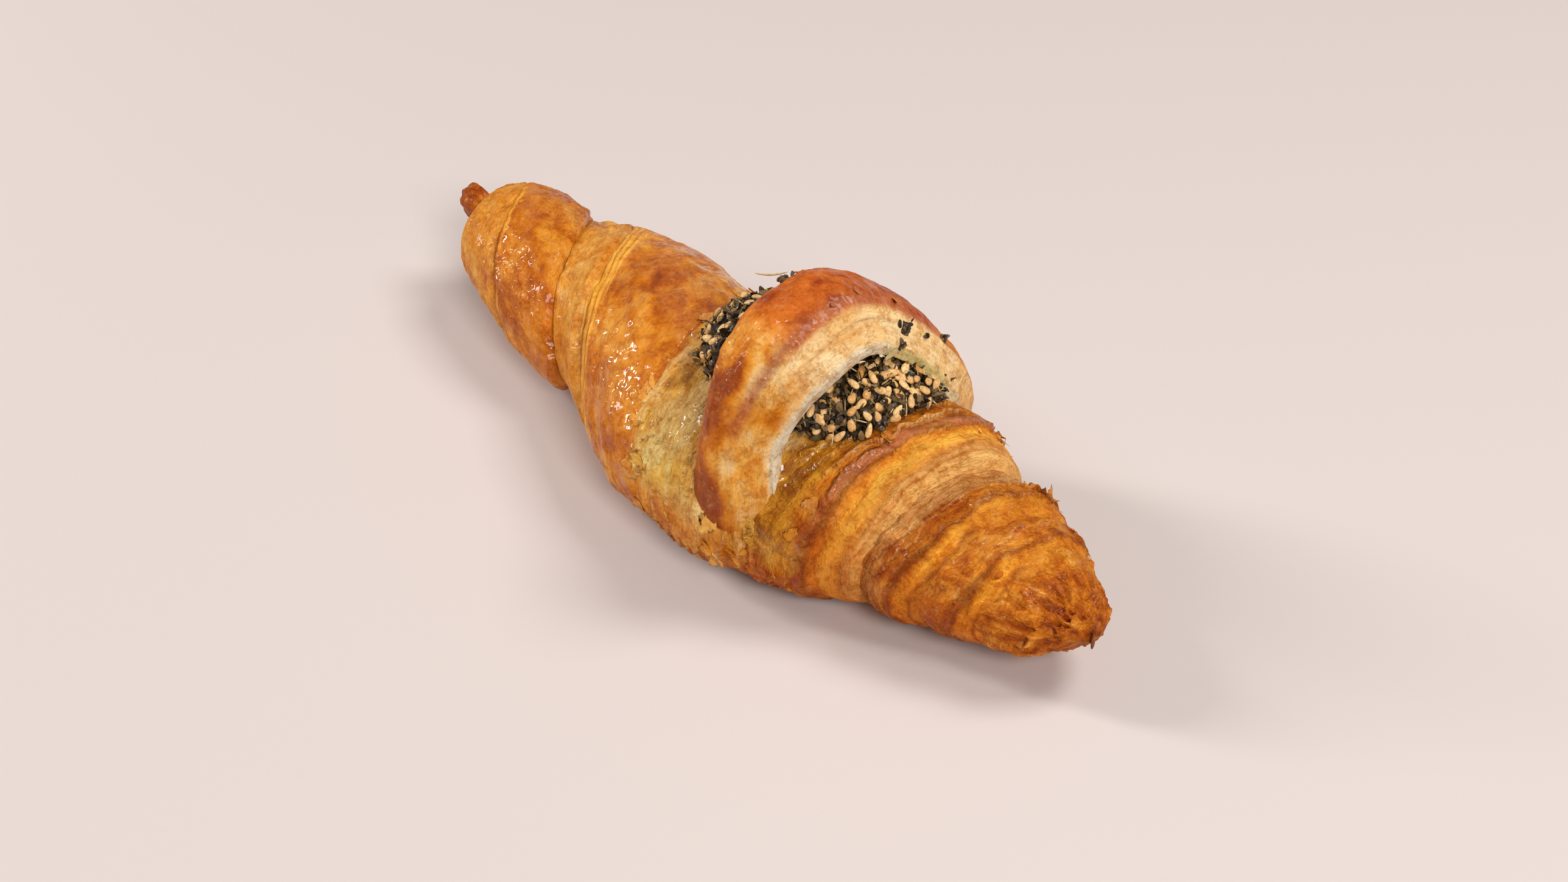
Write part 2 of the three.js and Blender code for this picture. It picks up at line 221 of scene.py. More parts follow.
def closed_mesh(name, points, tint, gloss, flaky, run, arc):
    """Mesh of a grid closed on itself across, its first and last rows each drawn together in one point.

    Its UV map holds run and arc, each given by row or by column, with one column more than the grid.
    """
    rows, columns = points.shape[:2]
    ring = np.arange(1, 1 + (rows - 2) * columns).reshape(rows - 2, columns)
    beside = np.roll(ring, -1, 1)
    last = (rows - 2) * columns + 1
    quads = np.stack([ring[:-1], beside[:-1], beside[1:], ring[1:]], -1).reshape(-1, 4)
    start = np.stack([0 * ring[0], beside[0], ring[0]], -1)
    end = np.stack([0 * ring[0] + last, ring[-1], beside[-1]], -1)

    def laid_out(field):
        field = np.broadcast_to(field, (rows, columns, *np.shape(field)[2:])).astype(float)
        inner = field[1:-1].reshape(-1, *field.shape[2:])
        return np.concatenate([field[:1].mean(1), inner, field[-1:].mean(1)])

    uv = np.stack(np.broadcast_arrays(run, arc), -1)
    row, column = np.arange(1, rows - 1)[:, None], np.arange(columns)
    far = column + 1
    quad_uv = np.stack([uv[row[:-1], column], uv[row[:-1], far], uv[row[1:], far], uv[row[1:], column]], 2)
    start_uv = np.stack([uv[0, column], uv[1, far], uv[1, column]], 1)
    end_uv = np.stack([uv[-1, column], uv[-2, column], uv[-2, far]], 1)
    places = (laid_out(points) - MIDDLE) * MM
    places[:, 2] = np.maximum(places[:, 2], 0)
    loops = np.concatenate([quads.ravel(), start.ravel(), end.ravel()])
    loop_uv = np.concatenate([part.reshape(-1, 2) for part in (quad_uv, start_uv, end_uv)])
    sizes = np.r_[np.full(len(quads), 4), np.full(2 * columns, 3)]
    return mesh_object(name, places, loops, sizes, loop_uv, *map(laid_out, (tint, gloss, flaky)))


class Nodes:
    """A material's node tree: make() adds a node, sets its plain inputs and joins the linked ones."""

    def __init__(self, name):
        self.material = bpy.data.materials.new(name)
        self.material.use_nodes = True
        self.tree = self.material.node_tree
        self.shader = self.tree.nodes["Principled BSDF"]

    def make(self, kind, inputs=None, **settings):
        node = self.tree.nodes.new(kind)
        for key, value in settings.items():
            setattr(node, key, value)
        self.feed(node, inputs or {})
        return node

    def feed(self, node, inputs):
        for key, value in inputs.items():
            if isinstance(value, bpy.types.NodeSocket):
                self.tree.links.new(value, node.inputs[key])
            else:
                node.inputs[key].default_value = value

    def field(self, scale, detail, vector, distortion=0.0):
        """A noise texture's value."""
        inputs = {"Scale": scale, "Detail": detail, "Vector": vector, "Distortion": distortion}
        return self.make("ShaderNodeTexNoise", inputs).outputs[0]

    def math(self, kind, *values):
        """A sum, difference or product of values."""
        return self.make("ShaderNodeMath", dict(enumerate(values)), operation=kind).outputs[0]

    def times(self, first, second):
        return self.math("MULTIPLY", first, second)

    def raised(self, height, strength, distance):
        """A bump's normal."""
        inputs = {"Height": height, "Strength": strength, "Distance": distance}
        return self.make("ShaderNodeBump", inputs).outputs[0]

    def spread(self, value, low, high, start, end):
        """The value's stretch from low to high laid out from start to end, held at either end."""
        return self.make("ShaderNodeMapRange", {0: value, 1: low, 2: high, 3: start, 4: end}).outputs[0]

    def colour(self, kind, share, first, second):
        """Two colours mixed or multiplied by a share."""
        inputs = {0: share, 6: first, 7: second}
        return self.make("ShaderNodeMix", inputs, data_type="RGBA", blend_type=kind).outputs[2]

    def attribute(self, name, output="Fac"):
        return self.make("ShaderNodeAttribute", attribute_name=name).outputs[output]


def crust_material():
    """Baked dough: the tint under darker and paler grains, torn leaves where it is flaky, glazed by gloss.

    The leaves are the steps of one noise cut at four levels, each with a painted shadow, a dark thin line,
    along its foot; the lower leaves are also darkened as painted shade.
    """
    nodes = Nodes("baked dough")
    spot = nodes.make("ShaderNodeTexCoord")
    place = spot.outputs["Object"]
    gloss, flaky = nodes.attribute("gloss"), nodes.attribute("flaky")
    grain = nodes.field(1300, 3, place)
    blister = nodes.field(330, 4, place)
    stretched = {"Vector": spot.outputs["UV"], "Scale": (0.36, 0.07, 1)}
    round_roll = nodes.make("ShaderNodeMapping", stretched).outputs[0]
    leaf = nodes.field(1.0, 4, round_roll, 0.15)
    thread = nodes.field(5.0, 4, round_roll, 0.5)
    steps, foot_shadows = 0.0, 0.0
    for level in (0.40, 0.47, 0.54, 0.61):
        step = nodes.spread(leaf, level, level + 0.008, 0.0, 1.0)
        # foot: a thin band just below each step, where its painted shadow lies.
        foot = nodes.math("SUBTRACT", nodes.spread(leaf, level - 0.035, level, 0.0, 1.0), step)
        steps, foot_shadows = nodes.math("ADD", steps, step), nodes.math("ADD", foot_shadows, foot)
    steps, foot_shadows = nodes.times(steps, flaky), nodes.times(foot_shadows, flaky)
    mixed = nodes.math("ADD", nodes.times(grain, 0.4), nodes.times(blister, 0.6))
    dark = nodes.spread(mixed, 0.48, 0.61, 0.0, 0.80)
    base = nodes.colour("MULTIPLY", dark, nodes.attribute("tint", "Color"), (0.70, 0.50, 0.30, 1))
    base = nodes.colour("MIX", nodes.spread(mixed, 0.44, 0.30, 0.0, 0.25), base, (0.94, 0.60, 0.24, 1))
    # Painted shade: lower leaves darker. Painted shadow: a thin dark line along each leaf's foot.
    base = nodes.colour("MULTIPLY", nodes.times(steps, 0.18), base, (0.62, 0.38, 0.18, 1))
    base = nodes.colour("MULTIPLY", nodes.times(foot_shadows, 0.32), base, (0.55, 0.34, 0.17, 1))
    streak = nodes.times(nodes.spread(thread, 0.52, 0.68, 0.0, 0.55), flaky)
    base = nodes.colour("MULTIPLY", streak, base, (0.66, 0.42, 0.22, 1))
    height = nodes.math("MULTIPLY_ADD", blister, 1.6, nodes.times(grain, 0.5))
    height = nodes.math("MULTIPLY_ADD", steps, -0.45, height)
    height = nodes.math("MULTIPLY_ADD", nodes.times(thread, flaky), -0.8, height)
    pool = nodes.spread(nodes.field(160, 3, place), 0.42, 0.54, 0.25, 1.0)
    nodes.feed(nodes.shader, {
        "Base Color": base,
        "Roughness": nodes.math("MULTIPLY_ADD", gloss, -0.30, nodes.spread(grain, 0.3, 0.7, 0.56, 0.72)),
        "Specular IOR Level": 0.10,
        "Normal": nodes.raised(height, 0.9, 0.0007),
        "Coat Weight": nodes.times(nodes.times(gloss, gloss), pool),
        "Coat Roughness": 0.05,
        "Coat Normal": nodes.raised(nodes.field(300, 1, place), 1.0, 0.0013),
        "Subsurface Weight": 0.06,
        "Subsurface Radius": (1.0, 0.35, 0.08),
        "Subsurface Scale": 0.002,
    })
    return nodes.material


crust = crust_material()


def dough_piece(obj):
    """Ties a piece of crust to the dough's solid."""
    obj.data.materials.append(crust)
    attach(obj, "root")
    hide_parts("dough")


def ramped(value, stops):
    """Colour at a value, between the colours of the two stops beside it."""
    at, colours = [stop for stop, _ in stops], np.array([colour for _, colour in stops])
    return np.stack([np.interp(value, at, channel) for channel in colours.T], -1)


def baked(level):
    """Colour of the crust by how far it has baked."""
    return ramped(level, BAKING)


def torn_layers(run, around, pitch, seed):
    """Overlapping torn layers, pitch mm apart: the share of the way over each layer, and each one's own tone.

    The run is first made ragged by noises of 12, 4 and 1.2 mm, so that every edge is torn, and the layers
    are made uneven in width by a noise of 4 mm along the roll.
    """
    ragged = 3.2 * noise(around, 12, seed) + 1.1 * noise(around, 4, seed + 1)
    ragged = ragged + 0.45 * noise(around, 1.2, seed + 2)
    uneven = 1.6 * noise(around * [1.0, 0.1, 0.1], 4, seed + 4)
    field = (run + ragged + uneven) / pitch
    layer = np.floor(field)
    tone = noise(np.stack([layer * 3.7, 0 * layer, 0 * layer], -1) + 0.05 * around, 1.0, seed + 3)
    return field - layer, tone


def roll_piece(name, corners, seed, paint, edge=None, back=None, wrinkle=0.12, lump=0.5, torn=0, carve=None):
    """One turn of the roll: a profile of station, height, lean and cut-face share, carried round the axis.

    Each point is skin(held(station + lean * lean_share(turn)), turn, height + relief). edge and back are the
    profile's corners where its cut edge and its other torn edge lie. The noises are read round a drum that
    narrows with the roll at its ends. paint gives tint, gloss and how flaky it is. Returns its fields.
    """
    profile, length = rounded(corners)
    station, proud, lean, face, run = (column[:, None] for column in profile.T)
    turn = np.linspace(-np.pi, np.pi, AROUND, endpoint=False)[None, :]
    radius = np.clip(2.4 * (half_width(station) + np.minimum(proud, 0)), 1, DRUM)
    around = np.stack(np.broadcast_arrays(station, radius * np.cos(turn), radius * np.sin(turn)), -1)
    along_roll = around * [1.0, 0.12, 0.12]
    along_roll[..., 0] += 1.8 * noise(around, 10, seed + 30) + 0.5 * noise(around, 3.5, seed + 31)
    off_edge = run - (length[edge] if edge is not None else -1000.0)
    off_back = run - (length[back] if back is not None else -1000.0)
    rim = around * [0.0, 1.0, 1.0]
    ragged = 0.9 * noise(rim, 11, seed) + 0.4 * noise(rim, 3, seed + 5) + 0.22 * noise(rim, 1.1, seed + 6)
    wave = ragged * hill(off_edge, 0, 3) + 2.2 * ragged * hill(off_back, 0, 3)
    lumps = lump * swirl(around, 11, seed + 1) + 0.20 * swirl(around, 3.2, seed + 2) - 0.4 * lump
    relief = (1 - face) * lumps + wrinkle * rough(along_roll, 1.4, seed + 3)
    relief = relief + face * (0.35 * rough(along_roll, 2.2, seed + 4) - 0.25)
    part, tone = torn_layers(run + 0 * turn, around, 3.4, seed + 20)
    shown = ease(noise(around, 7, seed + 25), -0.5, 0.2)
    relief = relief + torn * (1 - face) * shown * (0.9 * part ** 2 - 0.5 + 0.2 * tone)
    carved = carve(station, around) if carve else 0 * relief
    relief = relief + carved
    x = held(station + lean * lean_share(turn) + wave)
    points = skin(x, turn, proud + relief * ease(proud, -5, -2))
    beyond = np.maximum(0, -30 - points[..., 1])
    points[..., 1] += beyond - 1.1 * (1 - np.exp(-beyond / 1.1))
    pole = held(station[[0, -1]])
    ends = np.stack([pole, bow(pole), lift(pole) + LOW_SHARE * TALL * half_width(pole)], -1)
    points[[0, -1]] = np.broadcast_to(ends, (2, AROUND, 3))
    place = {
        "points": points, "x": points[..., 0], "turn": np.degrees(turn) + 0 * station,
        "off_edge": off_edge + 0 * turn, "off_back": off_back + 0 * turn, "face": face + 0 * turn,
        "around": around, "along_roll": along_roll, "carved": carved,
        "part": part, "tone": tone, "shown": shown,
    }
    tint, gloss, flaky = oiled(place, *paint(place))
    arc = DRUM * np.linspace(-np.pi, np.pi, AROUND + 1)[None, :]
    dough_piece(closed_mesh(name, points, tint, gloss, flaky, run, arc))
    place["tint"] = tint
    return place


def oiled(place, tint, gloss, flaky):
    """Oil that ran from the filling: a patch on each side of the arch, dark yellow and wet."""
    x, turn, around = place["x"], place["turn"], place["around"]
    left = 0.85 * hill(x, -1, 6) * hill(turn, 27, 14)
    right = hill(x, 35, 5.5) * hill(turn, 44, 24) + 0.6 * hill(x, 36, 6) * hill(turn, 82, 14)
    back = 0.8 * hill(x, 38, 7) * hill(turn, -50, 14)
    amount = left + right + back
    smear = swirl(around * [1, 0.5, 0.5], 4, 90)
    share = np.clip(1.2 * amount + 0.45 * smear * (amount > 0.08), 0, 1)
    deep = ease(share + 0.6 * noise(around, 3, 92), 0.55, 1.15)
    soaked = blend((0.86, 0.42, 0.030), (0.46, 0.170, 0.004), deep)
    soaked = soaked * (1 + 0.22 * rough(around * [1, 0.4, 0.4], 2.5, 91))[..., None]
    return blend(tint, soaked, 0.85 * ease(share, 0.1, 0.7)), np.maximum(gloss, 0.95 * share), flaky


def paint_inner(place):
    """Pale straw dough with torn smears down the front, golden towards the tray."""
    around, turn = place["around"], place["turn"]
    smear = swirl(around * [1, 0.5, 0.5], 4.5, 71)
    level = 0.04 + 0.18 * smear + 0.30 * ease(turn, 72, 96) + 0.10 * swirl(around, 9, 72)
    level = level + 0.5 * ease(np.abs(turn), 98, 128) + 0.08 * place["tone"]
    level = level + 0.20 * ease(place["x"], 38, 44)
    edge = ease(place["part"], 0.86, 0.97) * place["shown"] * ease(turn, 20, 40)
    tint = blend(baked(level), (0.94, 0.66, 0.30), 0.6 * edge)
    green = hill(place["x"], 8, 16) * ease(turn, 20, 50) * ease(turn, 95, 70)
    tint = tint * blend(1.0, (0.92, 1.06, 0.9), green)
    return tint, 0.45 + 0.35 * swirl(around, 5, 73), 0.6 + 0 * smear


def plain_corners(start, end, lean, proud):
    """A stretch of the roll with rounded ends: station, height, lean and no cut face."""
    span = end - start
    return [
        (start, HIDDEN, lean * 0.2, 0), (start + 0.04 * span, -1.5, lean * 0.3, 0),
        (start + 0.15 * span, proud, lean * 0.45, 0), (start + 0.5 * span, proud, lean * 0.8, 0),
        (start + 0.85 * span, proud, lean, 0), (start + 0.96 * span, -1.5, lean, 0), (end, HIDDEN, lean, 0),
    ]


inner_turn = roll_piece("inner_turn", plain_corners(TURN_START, TURN_END, 4, -0.8), 1, paint_inner,
                        wrinkle=0.3, lump=0.7, torn=0.9)


# The slim arm
# Three turns of the same sheet, each narrower, wound towards the long thin tip. Their cut edges face the
# tip and show thin yellow layers; the skin is glazed, golden brown and blistered.

# Colour of a painted sheen: the glazed skin's mauve reflection of the bright room, on its top and back.
MAUVE_SHEEN = (0.50, 0.165, 0.070)


def wrap_corners(toward, edge, lean, face, lip, swell, back, back_lean, back_depth):
    """A wrap's profile: hidden end, layered cut face, sharp lip, swelling skin, end under the next wrap.

    With it come the numbers of the corners at its lip and at its back end.
    """
    middle = edge + (back - edge) * 0.55
    middle_lean = lean + (back_lean - lean) * 0.55
    corners = [
        (edge + toward * (face + 3), HIDDEN, lean, 1),
        (edge + toward * face, -1.3, lean, 1),
        (edge + toward * face * 0.5, lip * 0.5 - 0.9, lean, 1),
        (edge + toward * 0.9, lip - 1.2, lean, 1),
        (edge, lip, lean, 0.2),
        (edge - toward * 1.5, lip + swell * 0.3, lean, 0),
        (edge - toward * 4, lip + swell * 0.55, lean, 0),
        (middle, max(lip, 0) * 0.6 + swell, middle_lean, 0),
        (back, back_depth, back_lean, 0),
        (back - toward * 0.8, back_depth - 1.4, back_lean, 0),
        (back - toward * 3, HIDDEN, back_lean, 0),
    ]
    return (corners, 4, 8) if toward < 0 else (corners[::-1], 6, 2)


PALE_LAYERS = [
    # depth below the lip, colour
    (0.0, (0.50, 0.15, 0.010)), (0.6, (0.84, 0.34, 0.030)), (2.0, (0.96, 0.45, 0.055)),
    (4.0, (0.90, 0.41, 0.050)), (9.0, (0.84, 0.40, 0.070)),
]
STRIPED_LAYERS = [
    (0.0, (0.42, 0.11, 0.008)), (0.6, (0.80, 0.32, 0.025)), (1.5, (1.0, 0.50, 0.070)),
    (2.5, (0.96, 0.44, 0.040)), (3.0, (0.50, 0.17, 0.012)), (3.5, (1.0, 0.50, 0.075)),
    (4.6, (0.94, 0.43, 0.040)), (5.0, (0.56, 0.20, 0.020)), (5.6, (0.96, 0.48, 0.080)),
    (9.0, (0.84, 0.40, 0.060)),
]


def cut_bands(place, bands, seed):
    """Colour of a cut face: bands by the depth in mm below its lip, wandering, with thin broken lines."""
    rim = place["around"] * [0.0, 1.0, 1.0]
    depth = np.abs(place["off_edge"]) + 1.1 * noise(rim, 12, seed)
    depth = depth + 0.7 * noise(rim * [1, 0.6, 0.6], 3.5, seed + 1)
    tint = ramped(depth, bands)
    fine = rough(np.concatenate([depth[..., None], 0.05 * rim[..., 1:]], -1), 0.8, seed + 2)
    lined = blend(tint, tint * [0.66, 0.44, 0.24], 0.7 * ease(fine, 0.30, 0.65))
    mottle = rough(place["around"] * [1.0, 0.35, 0.35], 2.2, seed + 5)
    return lined * (1 + 0.10 * fine + 0.16 * mottle)[..., None]


def paint_wrap(level, blotch, toast=0.2, gloss=0.5, sheen_amount=0, flaky=0.3, bands=PALE_LAYERS, spots=(), bare=0):
    """Painter of a glazed wrap: mottled skin, browner behind its lip, above layers of yellow and orange.

    spots are places of x, turn, half length, half turn and how much browner they are. The layers also show
    unglazed behind the lip, bare mm wide.
    """
    def paint(place):
        around, turn, off = place["around"], place["turn"], place["off_edge"]
        mottle = 0.75 * swirl(around, 8, 31) + 0.6 * swirl(around, 2.8, 33)
        browner = level + blotch * mottle + toast * hill(off, 0, 2.5)
        browner = browner + 0.08 * rough(place["along_roll"], 1.8, 34)
        wobble = 4 * noise(around, 9, 39)
        for at, about, long, wide, more in spots:
            near = hill(place["x"] + wobble, at, long) * hill(turn + 1.5 * wobble, about, wide)
            browner = browner + more * near
        tint = baked(browner)
        # Painted sheen: mauve patches, most on the top and back, stand in for the glaze's reflection of the
        # room.
        sheen = sheen_amount * ease(swirl(around, 10, 35) + 1.2 * hill(turn, -25, 32), 0.5, 1.3)
        tint = blend(tint, MAUVE_SHEEN * (1.1 + 0.3 * rough(around, 1.5, 38)[..., None]), sheen)
        layers = cut_bands(place, bands, 36)
        off_lip = np.abs(off) + 1.2 * noise(around, 6, 43)
        unglazed = ease(off_lip, bare + 0.6, bare - 0.6) * ease(turn, -75, -20)
        share = np.maximum(place["face"], 0.92 * unglazed * (bare > 0))
        tint = blend(tint, layers, share)
        # A thin dark line along the lip: partly its browner baked edge, partly painted shade under the lip's
        # step.
        tint = tint * (1 - 0.35 * hill(off, 0, 0.5))[..., None]
        wet = gloss * (0.75 + 0.6 * swirl(around, 6, 40)) + 0.1
        return tint, np.clip(wet, 0, 1) * (1 - 0.7 * share), flaky * (1 - 0.4 * place["face"])
    return paint


paint = paint_wrap(0.36, 0.16, gloss=0.35, flaky=0.6)
roll_piece("slim_tip", plain_corners(-102.5, -80, 12, 1.0), 11, paint, wrinkle=0.3, lump=0.3)

corners, lip, _ = wrap_corners(-1, -88.5, 19, 9, 1.4, 0.2, -67, 19, -0.4)
spots = [(-76, 20, 3, 14, 0.25), (-66, 55, 5, 16, 0.22), (-62, 80, 6, 12, 0.2), (-82, -20, 6, 20, 0.12)]
paint = paint_wrap(0.54, 0.28, 0.14, 0.62, 0.3, 0.35, PALE_LAYERS, spots, 1.6)
roll_piece("slim_outer_wrap", corners, 21, paint, lip, None, 0.12, 0.6)

corners, lip, _ = wrap_corners(-1, -66, 19, 4, -2.6, 0.2, -44, 22, -3.2)
paint = paint_wrap(0.30, 0.22, 0.12, 0.45, 0.1, 0.5)
roll_piece("slim_middle_wrap", corners, 31, paint, lip, None, 0.16, 0.4)

corners, lip, end = wrap_corners(-1, -51, 24, 7, 0.4, 2.0, -13, 13, -0.2)
spots = [
    (-34, -4, 8, 18, 0.22), (-22, 8, 7, 14, 0.14), (-12, 2, 6, 16, 0.2), (-30, 45, 6, 16, -0.1),
    (-9, 70, 6, 16, 0.14), (-24, 66, 7, 14, 0.14),
]
paint = paint_wrap(0.50, 0.34, 0.05, 0.95, 0.3, 0.3, STRIPED_LAYERS, spots, 5.6)
slim_big_wrap = roll_piece("slim_big_wrap", corners, 41, paint, lip, end, 0.10, 0.7)


def sphere(a, b):
    """Unit ball's grid: x = cos(a), y = sin(a) cos(b), z = sin(a) sin(b)."""
    return np.stack(np.broadcast_arrays(np.cos(a), np.sin(a) * np.cos(b), np.sin(a) * np.sin(b)), -1)


def slim_nub():
    """The slim tip's end, curled up into a small nub: an oval ball with seven soft folds round it."""
    a = np.linspace(0, np.pi, 50)[:, None]
    b = np.linspace(0, 2 * np.pi, 90, endpoint=False)[None, :]
    unit = sphere(a, b)
    radii = np.array([5.0, 3.8, 4.9])
    place = unit * radii + np.array([-101.7, 3.2, 24.3])
    folds = 0.07 * np.sin(7 * b + 2 * unit[..., 0]) * np.sin(a) + 0.10 * swirl(place, 2.5, 12) - 0.1
    points = place + unit * radii * folds[..., None]
    level = 0.86 + 0.3 * swirl(place, 3, 13) - 0.3 * ease(place[..., 0], -101, -97)
    arc = np.linspace(0, 27, 91)[None, :]
    dough_piece(closed_mesh("slim_nub", points, baked(level), 0.4, 0.6, a * 4.8, arc))


slim_nub()


# The thick arm
# Three short wraps wound the other way, their cut edges facing the blunt tip. Their crests are smooth and
# dark, the layers below them bright yellow, the skins between torn, tan and brown, and the tip is toasted.

RICH_LAYERS = [
    # depth below the lip, colour
    (0.0, (0.46, 0.13, 0.020)), (0.5, (0.70, 0.23, 0.020)), (1.8, (0.86, 0.32, 0.025)),
    (3.2, (1.0, 0.48, 0.055)), (5.2, (1.0, 0.46, 0.060)), (6.2, (0.86, 0.38, 0.065)),
    (6.8, (0.72, 0.32, 0.070)), (7.4, (0.92, 0.48, 0.140)), (8.2, (0.76, 0.36, 0.090)),
    (9.0, (0.90, 0.50, 0.150)),
]
TOASTED_LAYERS = [
    (0.0, (0.30, 0.06, 0.005)), (0.7, (0.70, 0.23, 0.015)), (2.0, (0.95, 0.41, 0.035)),
    (3.4, (0.86, 0.33, 0.025)), (4.2, (0.46, 0.13, 0.010)), (5.0, (0.80, 0.32, 0.035)),
    (8.0, (0.66, 0.24, 0.025)),
]


def paint_thick(level, crest, width, bands, tan, blotch, flaky, browned, spots):
    """Painter of a thick-arm wrap: a coloured crest that wide behind its lip, torn sheets, then tan skin.

    Its cut face is browned on the far side by that share.
    """
    plain = paint_wrap(level, blotch, 0.0, 0.35, 0.0, 0.85, bands, spots)

    def paint(place):
        around, along_roll, turn = place["around"], place["along_roll"], place["turn"]
        tint, gloss, leafy = plain(place)
        behind, bare = -place["off_edge"], 1 - place["face"]
        dull = browned * place["face"] * ease(turn + 12 * noise(around, 6, 68), 34, 0)
        tint = blend(tint, baked(0.56 + 0.34 * swirl(around, 4, 67)), dull)
        edge = behind + 2.6 * noise(around, 8, 63) + 1.2 * swirl(around, 3, 66)
        tan_share = tan * ease(edge, width + 2, width + 4.5) * bare
        tan_skin = blend((0.66, 0.26, 0.040), (0.86, 0.48, 0.17), 0.45 + 0.6 * swirl(along_roll, 1.8, 64))
        tint = blend(tint, tan_skin, np.clip(tan_share, 0, 1))
        sheet = flaky * bare * place["shown"]
        tint = tint * (1 + 0.35 * sheet * place["tone"])[..., None]
        # Painted shadow: each torn sheet is darkened just under the edge of the sheet above it.
        tint = blend(tint, tint * [0.50, 0.36, 0.24], sheet * hill(place["part"], 0.03, 0.06))
        tint = blend(tint, (0.94, 0.60, 0.25), 0.7 * sheet * ease(place["part"], 0.86, 0.97))
        uneven = 0.9 * noise(around, 7, 61) + 0.4 * noise(around, 1.8, 65)
        far = width + uneven
        stripe = ease(behind + uneven, -0.5, 0.6) * ease(behind, far + 0.6, far - 0.5) * bare
        # The crest is browner from baking; the mauve in the inner wrap's crest colour is a painted sheen on
        # the top, fading to plain brown down the front.
        shade = blend(crest, (0.46, 0.105, 0.012), ease(turn, 25, 75))
        shade = shade * (1 + 0.25 * rough(around, 2.2, 62))[..., None]
        tint = blend(tint, shade, 0.9 * stripe) * blend(1.0, (0.86, 0.68, 0.50), ease(turn, 48, 80))
        return tint, np.maximum(gloss, 0.6 * stripe), leafy * (1 - 0.7 * stripe)
    return paint


corners, lip, end = wrap_corners(1, 47, -3, 8, 0.8, 0.2, 36, -3, -0.4)
spots = [(44, 30, 3, 30, 0.10), (42, 70, 4, 16, 0.12)]
# The mauve tint of this crest colour is a painted sheen; its brown is from baking.
paint = paint_thick(0.50, (0.52, 0.165, 0.060), 2.6, RICH_LAYERS, 0.0, 0.24, 0.9, 0.0, spots)
thick_inner_wrap = roll_piece("thick_inner_wrap", corners, 51, paint, lip, end, 0.12, 0.5, 1.2)

corners, lip, _ = wrap_corners(1, 67.5, -6, 6, 0.8, -2.0, 55, -5, -4.0)
spots = [(60, 28, 4, 22, 0.16), (57, 62, 5, 14, 0.14), (64, 10, 3, 20, 0.14), (60, 88, 5, 10, -0.1)]
paint = paint_thick(0.50, (0.40, 0.085, 0.008), 1.0, TOASTED_LAYERS, 0.85, 0.34, 0.5, 0.8, spots)
thick_middle_wrap = roll_piece("thick_middle_wrap", corners, 61, paint, lip, None, 0.22, 0.9, 0.5)

corners, lip, _ = wrap_corners(1, 79, -4, 5, 0.2, -0.4, 70, -5, -2.6)
spots = [(73, 55, 3, 12, -0.08), (76, 10, 3, 20, -0.06), (78, 75, 4, 14, 0.16)]
paint = paint_thick(0.54, (0.36, 0.070, 0.006), 0.8, TOASTED_LAYERS, 0.15, 0.34, 0.4, 0.8, spots)
thick_outer_wrap = roll_piece("thick_outer_wrap", corners, 71, paint, lip, None, 0.26, 0.8, 0.4)


def paint_tip(place):
    """Lined orange-brown skin, toasted dark towards the end with paler folds between."""
    around = place["around"]
    level = 0.50 + 0.14 * rough(place["along_roll"], 1.8, 81) + 0.30 * swirl(around, 5, 82)
    level = level + 0.16 * swirl(around, 1.8, 87)
    level = level + 0.14 * ease(place["x"] + 2.5 * noise(around, 6, 83), 86, 93) - 0.16 * place["carved"]
    return baked(level), 0.35 + 0.3 * swirl(around, 4, 84), 0.8 + 0 * level


def tip_folds(station, around):
    """Lumps and pits round the blunt end, where the sheet's edge was gathered: deepest at 93."""
    lobes = 1.6 * swirl(around * [0.7, 1, 1], 5.5, 85)
    pits = ease(noise(around, 3, 86), 0.15, 0.6)
    return (lobes - 1.0 * pits - 0.8) * hill(station, 93, 6)


tip = [
    (74, -6, -4, 0), (76.8, -1, -4, 0), (83.4, -1.0, -4, 0), (90.4, -0.4, -3.2, 0),
    (94.7, -2.6, -2, 0), (96.8, -6.6, -0.8, 0), (97.5, -9.6, 0, 0),
]
roll_piece("thick_tip", tip, 81, paint_tip, wrinkle=0.5, lump=0.8, carve=tip_folds)


# The filling
# A heap of toasted sesame seeds and dried crumbled herbs, stirred with oil and spread along the top of the
# roll before the arch was laid over it. The heap is a dark core with seeds, herbs and stalks of true size.

HEAP_START, HEAP_END = -7, 42.5
HEAP_CORNER = 0.6  # how round the heap's outline is: 1 would be an ellipse
HALF_HEAP = 24  # half the heap's length and width, about
ARCH_Y, ARCH_Z = 5, 25  # the middle of the arch's outline
ARCH_REACH, ARCH_RISE = 35.3, 42  # the outline's half width and height
FRONT_CORNER, BACK_CORNER = 0.9, 1.3  # the outline is squarer in front and more pointed behind


def arch_angle(places):
    """Angle round the arch's middle: 0 at the top and more in front."""
    return np.arctan2(ARCH_Y - places[..., 1], places[..., 2] - ARCH_Z)


def arch_edges(angle):
    """Left and right edges of the arch's skin and its cut side's slant, from the top to either foot."""
    low = ease(np.abs(angle), 0.35, 1.3)
    front = angle > 0
    left = blend(13, np.where(front, 17.8, 22), low)
    right = blend(30.5, np.where(front, 28.5, 37), low) + 3.2 * ease(angle, 1.1, 1.5)
    return left, right, blend(5.5, np.where(front, 4, 3), low)


def out_of_arch(places, depth):
    """How far places lie out of the arch's outline at a depth, 1 being on it, with the outline's power."""
    y, z = places[..., 1] - ARCH_Y, places[..., 2] - ARCH_Z
    share = np.where(y < 0, 2 / FRONT_CORNER, 2 / BACK_CORNER)
    out = (np.abs(y) / (ARCH_REACH - depth)) ** share + (np.maximum(z, 0) / (ARCH_RISE - depth)) ** share
    return np.maximum(out, 1e-6), share


